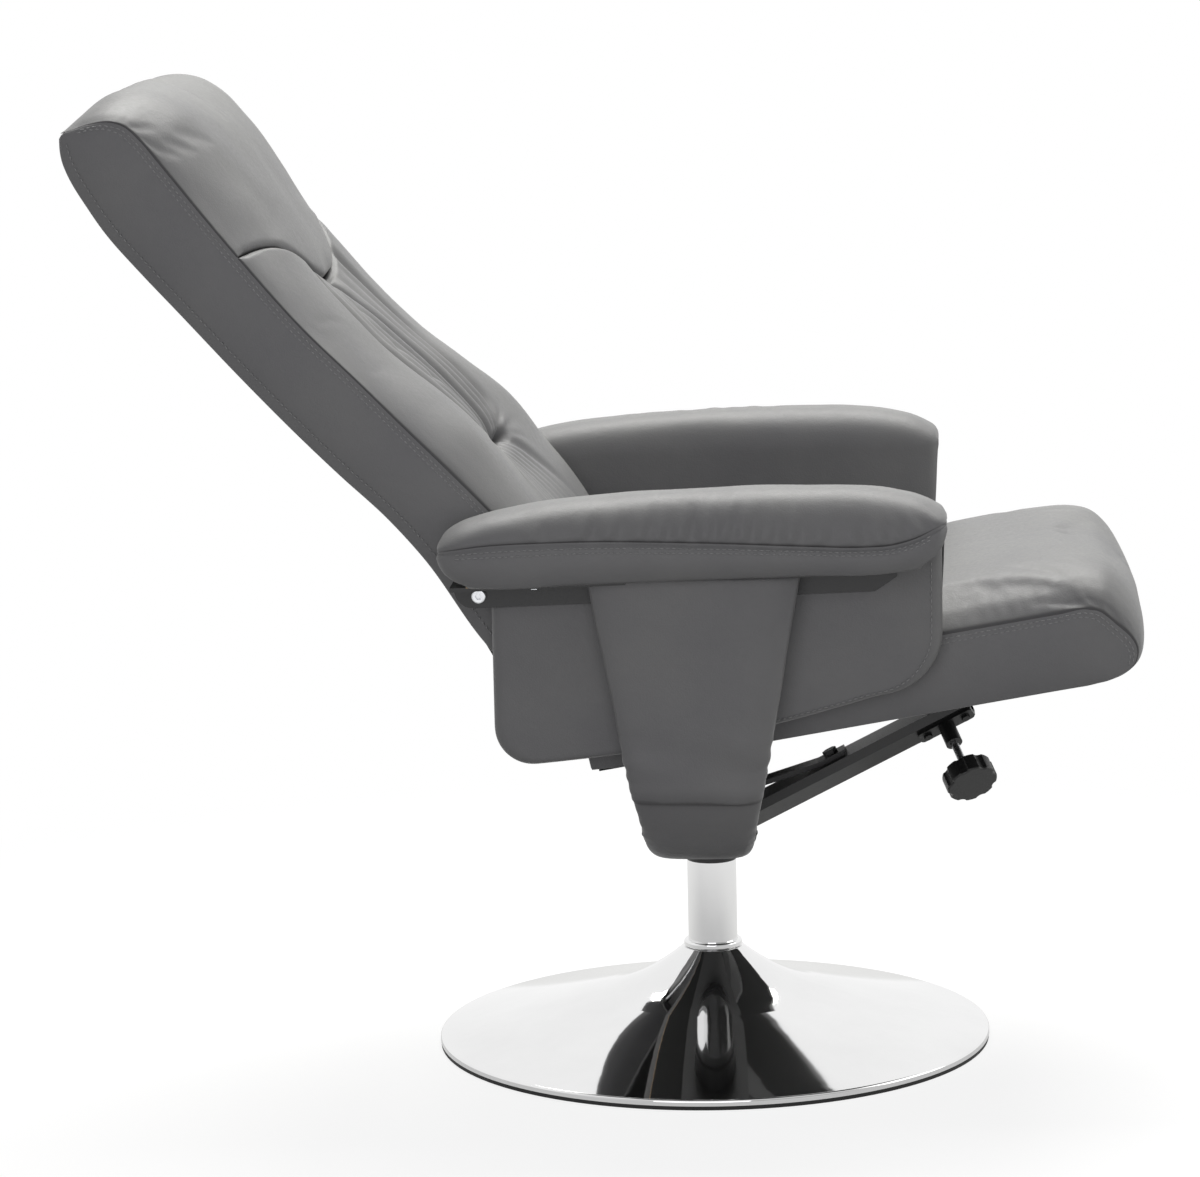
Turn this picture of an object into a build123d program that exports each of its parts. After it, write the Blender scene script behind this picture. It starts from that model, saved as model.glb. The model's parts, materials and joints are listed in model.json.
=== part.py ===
from build123d import *
import os
from math import atan2, cos, degrees, pi, radians, sin, sqrt, tan

# A reclining swivel armchair: chrome trumpet base, padded yoke legs, padded arms, a seat that
# glides forward as the back leans, and a hand knob that clamps the glide.
# Millimetres, +X forward, +Y to the sitter's left, +Z up, origin on the floor at the swivel axis.
# It is drawn in its fully reclined position.

# Clearances
RUNNING = 0.05
SEATED = 0.02
CLEAR = 0.3
SLIDING = 0.4
SOFT = 0.4
OVERRUN = 1.0

# Base and column
BASE_RADIUS = 280.0
RING_HEIGHT = 4.0
RING_WIDTH = 22.0
RING_LEDGE = 3.0
RING_SETBACK = 0.5
RIM_TOP = 10.0
RIM_ROUND = 2.5
RIM_SLOPE = 11.5
DISH_WALL = 2.2
SKIRT_RADIUS = 115.0
SKIRT_HEIGHT = 49.5
NECK_HEIGHT = 95.0
NECK_FLARE = 6.0
PLATE_THICKNESS = 4.0
TUBE_RADIUS = 25.0
TUBE_WALL = 2.0
TUBE_TOP = 185.0
COLLAR_HEIGHT = 7.0
COLLAR_WIDTH = 4.5
FOOT_RADIUS = 62.0
FOOT_THICKNESS = 6.0
SPINDLE_RADIUS = 14.0
SPINDLE_BOTTOM = 34.0
SPINDLE_NUT_HEIGHT = 10.0
SPINDLE_NUT_WIDTH = 20.0
THREAD_STEP = 2.0
BUSH_LENGTH = 22.0
THRUST_HEIGHT = 8.0

# Hub and yoke
HUB_TOP = 236.0
HUB_NECK_RADIUS = 27.0
HUB_NECK_HEIGHT = 15.0
HUB_HALF_LENGTH = 42.0
HUB_HALF_WIDTH = 46.0
HUB_CORNER = 8.0
HUB_ROOF = 6.0
HUB_BOLT_GRIP = 24.0
HUB_BOLT_EDGE = 12.0
STRAP_THICKNESS = 8.0
STRAP_HALF_LENGTH = 38.0
STRAP_HALF_WIDTH = 198.0
CORE_THICKNESS = 8.0
CORE_HALF_LENGTH = 30.0
CORE_FOOT = 110.0
CORE_TAB = 16.0
CORE_BOLT_EDGE = 20.0
CORE_BOLT_SPACING = 42.0
LEG_OUTER = 327.0
LEG_THICKNESS = 34.0
LEG_BEND = 110.0
LEG_TOP_HALF = 100.0
LEG_FOOT_HALF = 48.0
LEG_ROUND = 13.0

# Arms
ARM_HEIGHT = 527.5
ARM_TILT = 1.8
ARM_CENTRE = 299.0
ARM_HALF_WIDTH = 50.0
ARM_REACH = 238.0
ARM_CROWN = 78.0
ARM_NOSE = 32.0
ARM_SEAM = 34.0
ARM_TIP = 35.0
ARM_END_SHARE = 0.7
ARM_DRAW = 4.0
ARM_BOARD_REACH = 212.0
ARM_BOARD_HALF = 34.0
BOARD_THICKNESS = 12.0
RAIL_INNER = 282.0
RAIL_WALL = 4.0
RAIL_DEPTH = 27.0
RAIL_FLANGE = 46.0
RAIL_REAR = 228.0
RAIL_FRONT = 190.0
RAIL_ROUND = 18.0
RAIL_CHAMFER = 13.0
RAIL_CHAMFER_RUN = 21.0
ARM_SCREW_REACH = 150.0
PANEL_SCREW_REACH = 60.0

# Side panels
PANEL_THICKNESS = 26.0
PANEL_REAR = 194.0
PANEL_FRONT = 234.0
PANEL_REAR_DROP = 182.0
PANEL_FRONT_DROP = 127.0
PANEL_REAR_ROUND = 34.0
PANEL_FRONT_ROUND = 57.0
PANEL_EDGE = 7.0

# Recline pivot and link
PIVOT_REACH = 204.6
PIVOT_DROP = 15.0
PIVOT_RADIUS = 5.0
PIVOT_HEAD = 7.0
PIVOT_HEAD_HEIGHT = 5.0
PIVOT_HEAD_ROUND = 1.5
PIVOT_NUT = 6.0
PIVOT_BUSH_WALL = 3.0
SPACER_WALL = 3.0
RECLINE_SWING = 24.0
LINK_RADIUS = 130.0
ROD_RADIUS = 5.0
ROD_EYE = 13.0
ROD_CLIP = 4.0

# Seat
SEAT_TILT = 9.6
SEAT_HEIGHT = 342.0
SEAT_HALF_WIDTH = 246.0
SEAT_REAR = 115.0
SEAT_FRONT = 446.0
SEAT_NOSE = 58.0
SEAT_TAIL = 22.0
SEAT_CROWN = 113.0
SEAT_SEAM = 75.0
SEAT_TIP = 41.0
SEAT_END_SHARE = 0.91
SEAT_DRAW = 6.0
SEAT_FLAT_FRONT = 350.0
SEAT_BOARD_HALF = 222.0
SEAT_BOARD_REAR = 100.0
SEAT_BOARD_INSET = 5.0
DUST_THICKNESS = 1.5
DUST_OVERLAP = 8.0
SLIDE_LENGTH = 146.0
SLIDE_FRONT = 347.0
SLIDE_HALF = 12.0
SLIDE_NECK = 6.0
SLIDE_FOOT = 4.0
SLIDE_GROOVE = 5.0
SLIDE_BAR = 7.0
SLIDE_SCREW_EDGE = 12.0
SADDLE_LENGTH = 64.0
SADDLE_CENTRE = 247.0
SADDLE_WALL = 4.5
BRACKET_OFFSET = 188.0
BRACKET_THICKNESS = 5.0
BRACKET_LENGTH = 60.0
BRACKET_SCREW_EDGE = 14.0

# Front bar, brace and clamp
BAR_ROOT = 196.5
BAR_REACH = 268.0
BAR_DROP = 54.3
BAR_LENGTH = 301.0
BAR_HALF_WIDTH = 27.5
BAR_DEPTH = 24.5
BAR_CHAMFER = 15.0
BAR_WALL = 2.5
BRACE_THICKNESS = 5.0
BRACE_HALF_WIDTH = 14.0
BRACE_REACH = 112.0
BRACE_TAB = 26.0
BRACE_INSET = 2.0
KNOB_ALONG = 271.0
BOSS_PLATE_LENGTH = 60.0
BOSS_PLATE_WIDTH = 16.0
BOSS_PLATE_THICKNESS = 4.0
BOSS_BOLT_EDGE = 9.0
BOSS_BOLT_RADIUS = 2.5
BOSS_BOLT_HEAD = 4.5
BOSS_BOLT_HEAD_HEIGHT = 3.0
BOSS_RADIUS = 8.5
BOSS_LENGTH = 23.0
CLAMP_SCREW_RADIUS = 4.0
KNOB_RADIUS = 26.0
KNOB_THICKNESS = 19.0
KNOB_STANDOFF = 62.0
KNOB_LOBES = 8
KNOB_EDGE = 2.0
KNOB_LOBE = 7.3
KNOB_LOBE_OUT = 5.2
KNOB_BORE = 11.4
CAP_RADIUS = 15.0
CAP_THICKNESS = 2.0
PAD_RADIUS = 6.0
PAD_THICKNESS = 4.0
PAD_DEPTH = 13.4
SHOE_LENGTH = 14.0
SHOE_HALF_WIDTH = 10.0
SHOE_HEIGHT = 38.5
SHOE_ROOM = 1.0
SHOE_TRAVEL = 2.5

# Back, measured along its own lean from the recline pivot
BACK_LEAN = 38.9
BACK_HALF_WIDTH = 244.0
BACK_TOP = 586.0
BACK_BOTTOM = -72.0
BACK_SEAM = 28.0
PILLOW_START = 389.0
CHANNEL_DEPTH = 13.0
CENTRE_DEPTH = 5.0
REAR_DRAW = 9.0
REAR_CROWN = 2.0
BACK_BOARD_HALF = 186.0
BACK_BOARD_TOP = 535.0
BACK_BOARD_BOTTOM = -52.0
BACK_BOARD_THICKNESS = 15.0
LUG_OFFSET = 200.0
LUG_THICKNESS = 5.0
LUG_ROUND = 14.0
LUG_TOP = 70.0
LUG_FLANGE = 50.0
LUG_SCREW_EDGE = 12.0

# Bolts
BOLT_RADIUS = 4.0
BOLT_HEAD = 7.5
BOLT_HEAD_HEIGHT = 5.0
SCREW_RADIUS = 3.0
SCREW_HEAD = 5.5
SCREW_HEAD_HEIGHT = 3.5
SCREW_SINK = 3.0
TIP_COVER = 3.0
BOLT_TIP = 2.0


def tilted(x, z, angle):
    """Frame on the mid plane, its X axis raised by an angle."""
    turn = radians(angle)
    return Plane((x, 0, z), (cos(turn), 0, sin(turn)), (-sin(turn), 0, cos(turn)))


def side_of(frame, y):
    """Side elevation of a frame at one distance from the mid plane, looking from the right."""
    origin = frame.origin
    return Plane((origin.X, y, origin.Z), frame.x_dir, (0, -1, 0))


def across(frame, along):
    """Cross section of a frame at one distance along it, Y across and up the frame."""
    return Plane(frame.from_local_coords((along, 0, 0)), (0, 1, 0), frame.x_dir)


arm_frame = tilted(0, ARM_HEIGHT, ARM_TILT)
pivot = arm_frame.from_local_coords((-PIVOT_REACH, 0, -PIVOT_DROP))
seat_frame = tilted(0, SEAT_HEIGHT, SEAT_TILT)
back_frame = tilted(pivot.X, pivot.Z, BACK_LEAN)

# The front bar leans so that its front end stays a set drop below the seat
seat_rise = BAR_REACH * tan(radians(SEAT_TILT))
bar_slope = atan2(SEAT_HEIGHT + seat_rise - BAR_DROP - BAR_ROOT, BAR_REACH)
bar_frame = tilted(0, BAR_ROOT, degrees(bar_slope))

# The link rod hangs below the pivot, half the swing ahead of the square to the seat's glide
rod_angle = radians(SEAT_TILT + RECLINE_SWING / 2)
rod = Vector(pivot.X + LINK_RADIUS * sin(rod_angle), 0, pivot.Z - LINK_RADIUS * cos(rod_angle))
rod_on_seat = seat_frame.to_local_coords(rod)
rod_on_back = back_frame.to_local_coords(rod)
rod_rise = LINK_RADIUS * (1 - cos(radians(RECLINE_SWING / 2)))


def opened(distance, length):
    """Share to which a rounded end has opened at a distance from its tip."""
    share = min(1, max(distance / length, 0.01))
    return sqrt(1 - (1 - share) ** 2)


def left_of(right):
    """The sitter's left piece, mirrored from the right one."""
    with BuildPart() as left:
        mirror(right.part, about=Plane.XZ)
    return left


def bolt_group(seats, radius, length, head, head_height):
    """Hex bolts, each head standing on its seat plane and its shank going below it."""
    with BuildPart() as bolts:
        for seat in seats:
            with BuildSketch(seat):
                RegularPolygon(head, 6)
            extrude(amount=head_height)
            with BuildSketch(seat):
                Circle(radius)
            extrude(amount=-length)
    return bolts


def flush_screws(seats, length, grow):
    """Screws with round heads sunk flush under their seat planes."""
    with BuildPart() as screws:
        for seat in seats:
            with BuildSketch(seat):
                Circle(SCREW_HEAD + grow)
            extrude(amount=-SCREW_SINK)
            with BuildSketch(seat):
                Circle(SCREW_RADIUS + grow)
            extrude(amount=-length)
    return screws


def bores(seats, radius, length):
    """Round tools that go below their seat planes."""
    with BuildPart() as tools:
        for seat in seats:
            with BuildSketch(seat):
                Circle(radius)
            extrude(amount=-length)
    return tools.part


# Base: chrome dish, rubber edge ring, steel floor plate
neck_radius = TUBE_RADIUS + NECK_FLARE
with BuildPart() as base_dish:
    with BuildSketch(Plane.XZ):
        with BuildLine():
            lip = Line((BASE_RADIUS, RING_HEIGHT), (BASE_RADIUS, RIM_TOP - RIM_ROUND))
            rim = TangentArc(lip @ 1, (BASE_RADIUS - RIM_ROUND, RIM_TOP), tangent=(0, 1))
            slope = (-cos(radians(RIM_SLOPE)), sin(radians(RIM_SLOPE)))
            skirt = TangentArc(rim @ 1, (SKIRT_RADIUS, SKIRT_HEIGHT), tangent=slope)
            flare = TangentArc(skirt @ 1, (neck_radius, NECK_HEIGHT), tangent=skirt % 1)
            mouth = Polyline(
                flare @ 1,
                (TUBE_RADIUS + CLEAR, NECK_HEIGHT),
                (TUBE_RADIUS + CLEAR, NECK_HEIGHT - 2 * DISH_WALL),
                (neck_radius - DISH_WALL / 2, NECK_HEIGHT - 2 * DISH_WALL),
            )
            inner_skirt_end = (SKIRT_RADIUS, SKIRT_HEIGHT - DISH_WALL)
            inner_rim = (BASE_RADIUS - RIM_ROUND, RIM_TOP - DISH_WALL)
            inner_skirt = TangentArc(inner_rim, inner_skirt_end, tangent=slope)
            TangentArc(inner_skirt @ 1, mouth @ 1, tangent=inner_skirt % 1)
            Polyline(inner_rim, (BASE_RADIUS - DISH_WALL, RING_HEIGHT), lip @ 0)
        make_face()
    revolve(axis=Axis.Z)

ring_outer = BASE_RADIUS - RING_SETBACK
ring_inner = BASE_RADIUS - RING_WIDTH
plate_radius = BASE_RADIUS - 4 * DISH_WALL
with BuildPart() as rim_ring:
    with BuildSketch(Plane.XZ):
        with BuildLine():
            Polyline(
                (ring_inner, 0),
                (ring_outer, 0),
                (ring_outer, RING_HEIGHT),
                (plate_radius + CLEAR, RING_HEIGHT),
                (plate_radius + CLEAR, RING_LEDGE),
                (ring_inner, RING_LEDGE),
                close=True,
            )
        make_face()
    revolve(axis=Axis.Z)

plate_top = RING_LEDGE + PLATE_THICKNESS
foot_top = plate_top + FOOT_THICKNESS
foot_bolt_circle = (TUBE_RADIUS + FOOT_RADIUS) / 2
with BuildPart() as floor_plate:
    with BuildSketch(Plane.XY.offset(RING_LEDGE)):
        Circle(plate_radius)
        with PolarLocations(foot_bolt_circle, 4):
            Circle(BOLT_RADIUS + SEATED, mode=Mode.SUBTRACT)
    extrude(amount=PLATE_THICKNESS)

# Column: foot flange, chrome tube, collar, bushes and thrust ring
with BuildPart() as column_foot:
    with BuildSketch(Plane.XY.offset(plate_top)):
        Circle(FOOT_RADIUS)
        Circle(TUBE_RADIUS + SEATED, mode=Mode.SUBTRACT)
        with PolarLocations(foot_bolt_circle, 4):
            Circle(BOLT_RADIUS + SEATED, mode=Mode.SUBTRACT)
    extrude(amount=FOOT_THICKNESS)

foot_bolt_seats = [
    Plane((foot_bolt_circle * cos(turn), foot_bolt_circle * sin(turn), foot_top))
    for turn in (0, pi / 2, pi, 3 * pi / 2)
]
foot_bolt_length = FOOT_THICKNESS + PLATE_THICKNESS
foot_bolts = bolt_group(foot_bolt_seats, BOLT_RADIUS, foot_bolt_length, BOLT_HEAD, BOLT_HEAD_HEIGHT)

tube_bore = TUBE_RADIUS - TUBE_WALL
with BuildPart() as column_tube:
    with BuildSketch(Plane.XY.offset(plate_top)):
        Circle(TUBE_RADIUS)
        Circle(tube_bore, mode=Mode.SUBTRACT)
    extrude(amount=TUBE_TOP - plate_top)

with BuildPart() as neck_collar:
    with BuildSketch(Plane.XY.offset(NECK_HEIGHT)):
        Circle(TUBE_RADIUS + COLLAR_WIDTH)
        Circle(TUBE_RADIUS + SEATED, mode=Mode.SUBTRACT)
    extrude(amount=COLLAR_HEIGHT)
    outer_edges = neck_collar.edges().filter_by(GeomType.CIRCLE).group_by(SortBy.RADIUS)[-1]
    fillet(outer_edges, COLLAR_HEIGHT / 3)

lower_bush_bottom = SPINDLE_BOTTOM + SPINDLE_NUT_HEIGHT + CLEAR
with BuildPart() as column_bushes:
    for bottom in (lower_bush_bottom, TUBE_TOP - BUSH_LENGTH):
        with BuildSketch(Plane.XY.offset(bottom)):
            Circle(tube_bore - SEATED)
            Circle(SPINDLE_RADIUS + RUNNING, mode=Mode.SUBTRACT)
        extrude(amount=BUSH_LENGTH)

with BuildPart() as thrust_ring:
    with BuildSketch(Plane.XY.offset(TUBE_TOP)):
        Circle(TUBE_RADIUS)
        Circle(SPINDLE_RADIUS + RUNNING, mode=Mode.SUBTRACT)
    extrude(amount=THRUST_HEIGHT)

# Swivel: spindle with its nut, hub, strap
hub_bottom = TUBE_TOP + THRUST_HEIGHT + CLEAR
spindle_top = HUB_TOP - HUB_ROOF
thread_radius = SPINDLE_RADIUS - THREAD_STEP
with BuildPart() as spindle:
    with BuildSketch(Plane.XY.offset(SPINDLE_BOTTOM)):
        Circle(thread_radius)
    extrude(amount=SPINDLE_NUT_HEIGHT)
    with BuildSketch(Plane.XY.offset(SPINDLE_BOTTOM + SPINDLE_NUT_HEIGHT)):
        Circle(SPINDLE_RADIUS)
    extrude(amount=spindle_top - SPINDLE_BOTTOM - SPINDLE_NUT_HEIGHT)

with BuildPart() as spindle_nut:
    with BuildSketch(Plane.XY.offset(SPINDLE_BOTTOM)):
        RegularPolygon(SPINDLE_NUT_WIDTH, 6)
        Circle(thread_radius + SEATED, mode=Mode.SUBTRACT)
    extrude(amount=SPINDLE_NUT_HEIGHT)

hub_bolt_x = STRAP_HALF_LENGTH - HUB_BOLT_EDGE
hub_bolt_y = HUB_HALF_WIDTH - HUB_BOLT_EDGE
hub_bolt_points = [(x, y) for x in (-hub_bolt_x, hub_bolt_x) for y in (-hub_bolt_y, hub_bolt_y)]
hub_bolt_length = STRAP_THICKNESS + HUB_BOLT_GRIP
with BuildPart() as hub:
    with BuildSketch(Plane.XY.offset(hub_bottom)):
        Circle(HUB_NECK_RADIUS)
    extrude(amount=HUB_NECK_HEIGHT)
    with BuildSketch(Plane.XY.offset(hub_bottom + HUB_NECK_HEIGHT)):
        RectangleRounded(2 * HUB_HALF_LENGTH, 2 * HUB_HALF_WIDTH, HUB_CORNER)
    extrude(amount=HUB_TOP - hub_bottom - HUB_NECK_HEIGHT)
    with BuildSketch(Plane.XY.offset(hub_bottom)):
        Circle(SPINDLE_RADIUS + SEATED)
    extrude(amount=spindle_top - hub_bottom, mode=Mode.SUBTRACT)
    with BuildSketch(Plane.XY.offset(HUB_TOP)):
        with Locations(*hub_bolt_points):
            Circle(BOLT_RADIUS + SEATED)
    extrude(amount=-HUB_BOLT_GRIP, mode=Mode.SUBTRACT)

strap_top = HUB_TOP + STRAP_THICKNESS
core_bolt_start = -CORE_FOOT - CORE_BOLT_EDGE
core_bolt_points = [(0, core_bolt_start), (0, core_bolt_start - CORE_BOLT_SPACING)]
strap_bolt_points = core_bolt_points + [(x, -y) for x, y in core_bolt_points]
with BuildPart() as yoke_strap:
    with BuildSketch(Plane.XY.offset(HUB_TOP)):
        Rectangle(2 * STRAP_HALF_LENGTH, 2 * STRAP_HALF_WIDTH)
        with Locations(*hub_bolt_points):
            Circle(BOLT_RADIUS + SEATED, mode=Mode.SUBTRACT)
        with Locations(*strap_bolt_points):
            Circle(BOLT_RADIUS + SEATED, mode=Mode.SUBTRACT)
        with Locations((-STRAP_HALF_LENGTH / 2, 0)):
            Circle(BOLT_RADIUS + SEATED, mode=Mode.SUBTRACT)
    extrude(amount=STRAP_THICKNESS)

hub_bolt_seats = [Plane((x, y, strap_top)) for x, y in hub_bolt_points]
hub_bolts = bolt_group(hub_bolt_seats, BOLT_RADIUS, hub_bolt_length, BOLT_HEAD, BOLT_HEAD_HEIGHT)

# Leg cores: bent flat bars from the strap up to the arm rails
bend_centre = (-LEG_OUTER + LEG_BEND, HUB_TOP + LEG_BEND)
core_inset = STRAP_THICKNESS
core_outer_bend = LEG_BEND - core_inset
core_inner_bend = core_outer_bend - CORE_THICKNESS
core_tab_bottom = ARM_HEIGHT - CORE_TAB
core_tab_end = -RAIL_INNER - RAIL_WALL - OVERRUN


def leg_section(outer, inner, foot, top, tab_end=None, tab_bottom=None):
    """Face in YZ of a strip that lies flat, bends up and may end in an inward tab."""
    centre_y, centre_z = bend_centre
    with BuildSketch(Plane.YZ) as section:
        with BuildLine():
            low = Line((foot, centre_z - outer), (centre_y, centre_z - outer))
            bend = TangentArc(low @ 1, (centre_y - outer, centre_z), tangent=(-1, 0))
            rise = Line(bend @ 1, (centre_y - outer, top))
            if tab_end is None:
                turn = Polyline(rise @ 1, (centre_y - inner, top), (centre_y - inner, centre_z))
            else:
                turn = Polyline(
                    rise @ 1,
                    (tab_end, top),
                    (tab_end, tab_bottom),
                    (centre_y - inner, tab_bottom),
                    (centre_y - inner, centre_z),
                )
            back = TangentArc(turn @ 1, (centre_y, centre_z - inner), tangent=(0, -1))
            Polyline(back @ 1, (foot, centre_z - inner), low @ 0)
        make_face()
    return section


rail_bottom_plane = arm_frame.offset(-RAIL_WALL)
with BuildPart() as right_leg_core:
    core_face = leg_section(
        core_outer_bend,
        core_inner_bend,
        -CORE_FOOT,
        ARM_HEIGHT,
        core_tab_end,
        core_tab_bottom,
    )
    extrude(core_face.sketch, amount=CORE_HALF_LENGTH, both=True)
    split(bisect_by=rail_bottom_plane, keep=Keep.BOTTOM)
    with BuildSketch(Plane.XY.offset(strap_top)):
        with Locations(*core_bolt_points):
            Circle(BOLT_RADIUS + SEATED)
    extrude(amount=CORE_THICKNESS, mode=Mode.SUBTRACT)
left_leg_core = left_of(right_leg_core)

strap_bolt_seats = [Plane((x, y, strap_top + CORE_THICKNESS)) for x, y in strap_bolt_points]
strap_bolt_length = CORE_THICKNESS + STRAP_THICKNESS
strap_bolts = bolt_group(
    strap_bolt_seats,
    BOLT_RADIUS,
    strap_bolt_length,
    BOLT_HEAD,
    BOLT_HEAD_HEIGHT,
)

# Leg covers: padded sleeves over the cores, wide at the arm and narrow at the bend
leg_inner_bend = LEG_BEND - LEG_THICKNESS
with BuildPart() as right_leg_cover:
    cover_face = leg_section(LEG_BEND, leg_inner_bend, -STRAP_HALF_WIDTH - SOFT, ARM_HEIGHT)
    extrude(cover_face.sketch, amount=LEG_TOP_HALF, both=True)
    with BuildSketch(Plane.XZ):
        with BuildLine():
            Polyline(
                (-LEG_FOOT_HALF, HUB_TOP - OVERRUN),
                (LEG_FOOT_HALF, HUB_TOP - OVERRUN),
                (LEG_TOP_HALF, ARM_HEIGHT),
                (-LEG_TOP_HALF, ARM_HEIGHT),
                close=True,
            )
        make_face()
    extrude(amount=LEG_OUTER + OVERRUN, mode=Mode.INTERSECT)
    rim_edges = right_leg_cover.edges().filter_by(
        lambda edge: edge.center().Y < -LEG_OUTER + LEG_THICKNESS / 3
        and edge.bounding_box().size.Z > LEG_BEND
    )
    fillet(rim_edges, LEG_ROUND)
    core_room = leg_section(
        core_outer_bend + SOFT,
        core_inner_bend - SOFT,
        -CORE_FOOT,
        ARM_HEIGHT,
        core_tab_end,
        core_tab_bottom - SOFT,
    )
    extrude(core_room.sketch, amount=CORE_HALF_LENGTH + SOFT, both=True, mode=Mode.SUBTRACT)
    split(bisect_by=arm_frame.offset(-RAIL_WALL - SOFT), keep=Keep.BOTTOM)
left_leg_cover = left_of(right_leg_cover)

# Arm rails: steel angles under the arms that carry the legs, the side panels and the back
arm_screw_points = [(x, -RAIL_INNER - RAIL_FLANGE / 2) for x in (-ARM_SCREW_REACH, ARM_SCREW_REACH)]
down_arm = -arm_frame.z_dir
arm_screw_seats = [
    Plane(arm_frame.from_local_coords((x, y, -RAIL_WALL)), arm_frame.x_dir, down_arm)
    for x, y in arm_screw_points
]
rail_screw_length = RAIL_WALL + BOARD_THICKNESS - TIP_COVER
rail_face = -RAIL_INNER - RAIL_WALL
panel_screw_seats = [
    Plane(arm_frame.from_local_coords((x, rail_face, -RAIL_DEPTH / 2)), (1, 0, 0), (0, -1, 0))
    for x in (-PANEL_SCREW_REACH, PANEL_SCREW_REACH)
]
pivot_seat = Plane((pivot.X, rail_face, pivot.Z), (1, 0, 0), (0, -1, 0))


def mirrored_seats(seats):
    """Seat planes of both sides."""
    others = [
        Plane(
            (seat.origin.X, -seat.origin.Y, seat.origin.Z),
            seat.x_dir,
            (seat.z_dir.X, -seat.z_dir.Y, seat.z_dir.Z),
        )
        for seat in seats
    ]
    return seats + others


with BuildPart() as right_arm_rail:
    with BuildSketch(side_of(arm_frame, -RAIL_INNER)):
        with BuildLine():
            edge = Polyline(
                (-RAIL_REAR + RAIL_ROUND, -RAIL_DEPTH),
                (RAIL_FRONT - RAIL_CHAMFER_RUN, -RAIL_DEPTH),
                (RAIL_FRONT, -RAIL_DEPTH + RAIL_CHAMFER),
                (RAIL_FRONT, 0),
                (-RAIL_REAR, 0),
                (-RAIL_REAR, -RAIL_DEPTH + RAIL_ROUND),
            )
            TangentArc(edge @ 1, edge @ 0, tangent=(0, -1))
        make_face()
    extrude(amount=RAIL_WALL)
    with BuildSketch(side_of(arm_frame, -RAIL_INNER)):
        with Locations(((RAIL_FRONT - RAIL_REAR) / 2, -RAIL_WALL / 2)):
            Rectangle(RAIL_REAR + RAIL_FRONT, RAIL_WALL)
    extrude(amount=RAIL_FLANGE)
    add(bores(arm_screw_seats, SCREW_RADIUS + SEATED, rail_screw_length), mode=Mode.SUBTRACT)
    add(bores(panel_screw_seats, SCREW_RADIUS + SEATED, rail_screw_length), mode=Mode.SUBTRACT)
    add(bores([pivot_seat], PIVOT_RADIUS + SEATED, 2 * RAIL_WALL), mode=Mode.SUBTRACT)
left_arm_rail = left_of(right_arm_rail)

rail_screws = bolt_group(
    mirrored_seats(arm_screw_seats + panel_screw_seats),
    SCREW_RADIUS,
    rail_screw_length,
    SCREW_HEAD,
    SCREW_HEAD_HEIGHT,
)

with BuildPart() as right_arm_board:
    with BuildSketch(arm_frame):
        with Locations((0, -ARM_CENTRE)):
            Rectangle(2 * ARM_BOARD_REACH, 2 * ARM_BOARD_HALF)
    extrude(amount=BOARD_THICKNESS)
    add(bores(arm_screw_seats, SCREW_RADIUS + SEATED, rail_screw_length), mode=Mode.SUBTRACT)
left_arm_board = left_of(right_arm_board)

# Arm pads: crowned, drawn in along the side seam and rounded at both ends
arm_ends = [ARM_REACH - ARM_NOSE * share for share in (0, 0.05, 0.18, 0.42, 0.72, 1)]
arm_middle = [ARM_REACH * share for share in (-0.65, -0.42, -0.18, 0.06, 0.3, 0.52, 0.7)]
arm_stations = [-along for along in arm_ends] + arm_middle + arm_ends[::-1]
with BuildPart() as right_arm_pad:
    for along in arm_stations:
        share = opened(ARM_REACH - abs(along), ARM_NOSE)
        crown = ARM_CROWN * (1 - 0.25 * (along / ARM_REACH - 0.15) ** 2)
        half = ARM_HALF_WIDTH * (ARM_END_SHARE + (1 - ARM_END_SHARE) * share)
        low = ARM_TIP * (1 - share)
        seam = ARM_TIP + (ARM_SEAM - ARM_TIP) * share
        top = max(ARM_TIP + (crown - ARM_TIP) * share, seam + OVERRUN)
        middle = (low + seam) / 2
        inner_low = (-ARM_CENTRE + half - ARM_DRAW, low)
        inner_seam = (-ARM_CENTRE + half - ARM_DRAW / 2, seam)
        outer_low = (-ARM_CENTRE - half + ARM_DRAW, low)
        outer_seam = (-ARM_CENTRE - half + ARM_DRAW / 2, seam)
        with BuildSketch(across(arm_frame, along)):
            with BuildLine():
                Line(outer_low, inner_low)
                ThreePointArc(inner_low, (-ARM_CENTRE + half, middle), inner_seam)
                ThreePointArc(inner_seam, (-ARM_CENTRE, top), outer_seam)
                ThreePointArc(outer_seam, (-ARM_CENTRE - half, middle), outer_low)
            make_face()
    loft(ruled=True)
    with BuildSketch(arm_frame.offset(-OVERRUN)):
        with Locations((0, -ARM_CENTRE)):
            Rectangle(2 * (ARM_BOARD_REACH + SOFT), 2 * (ARM_BOARD_HALF + SOFT))
    extrude(amount=OVERRUN + BOARD_THICKNESS + SOFT, mode=Mode.SUBTRACT)
left_arm_pad = left_of(right_arm_pad)

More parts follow.
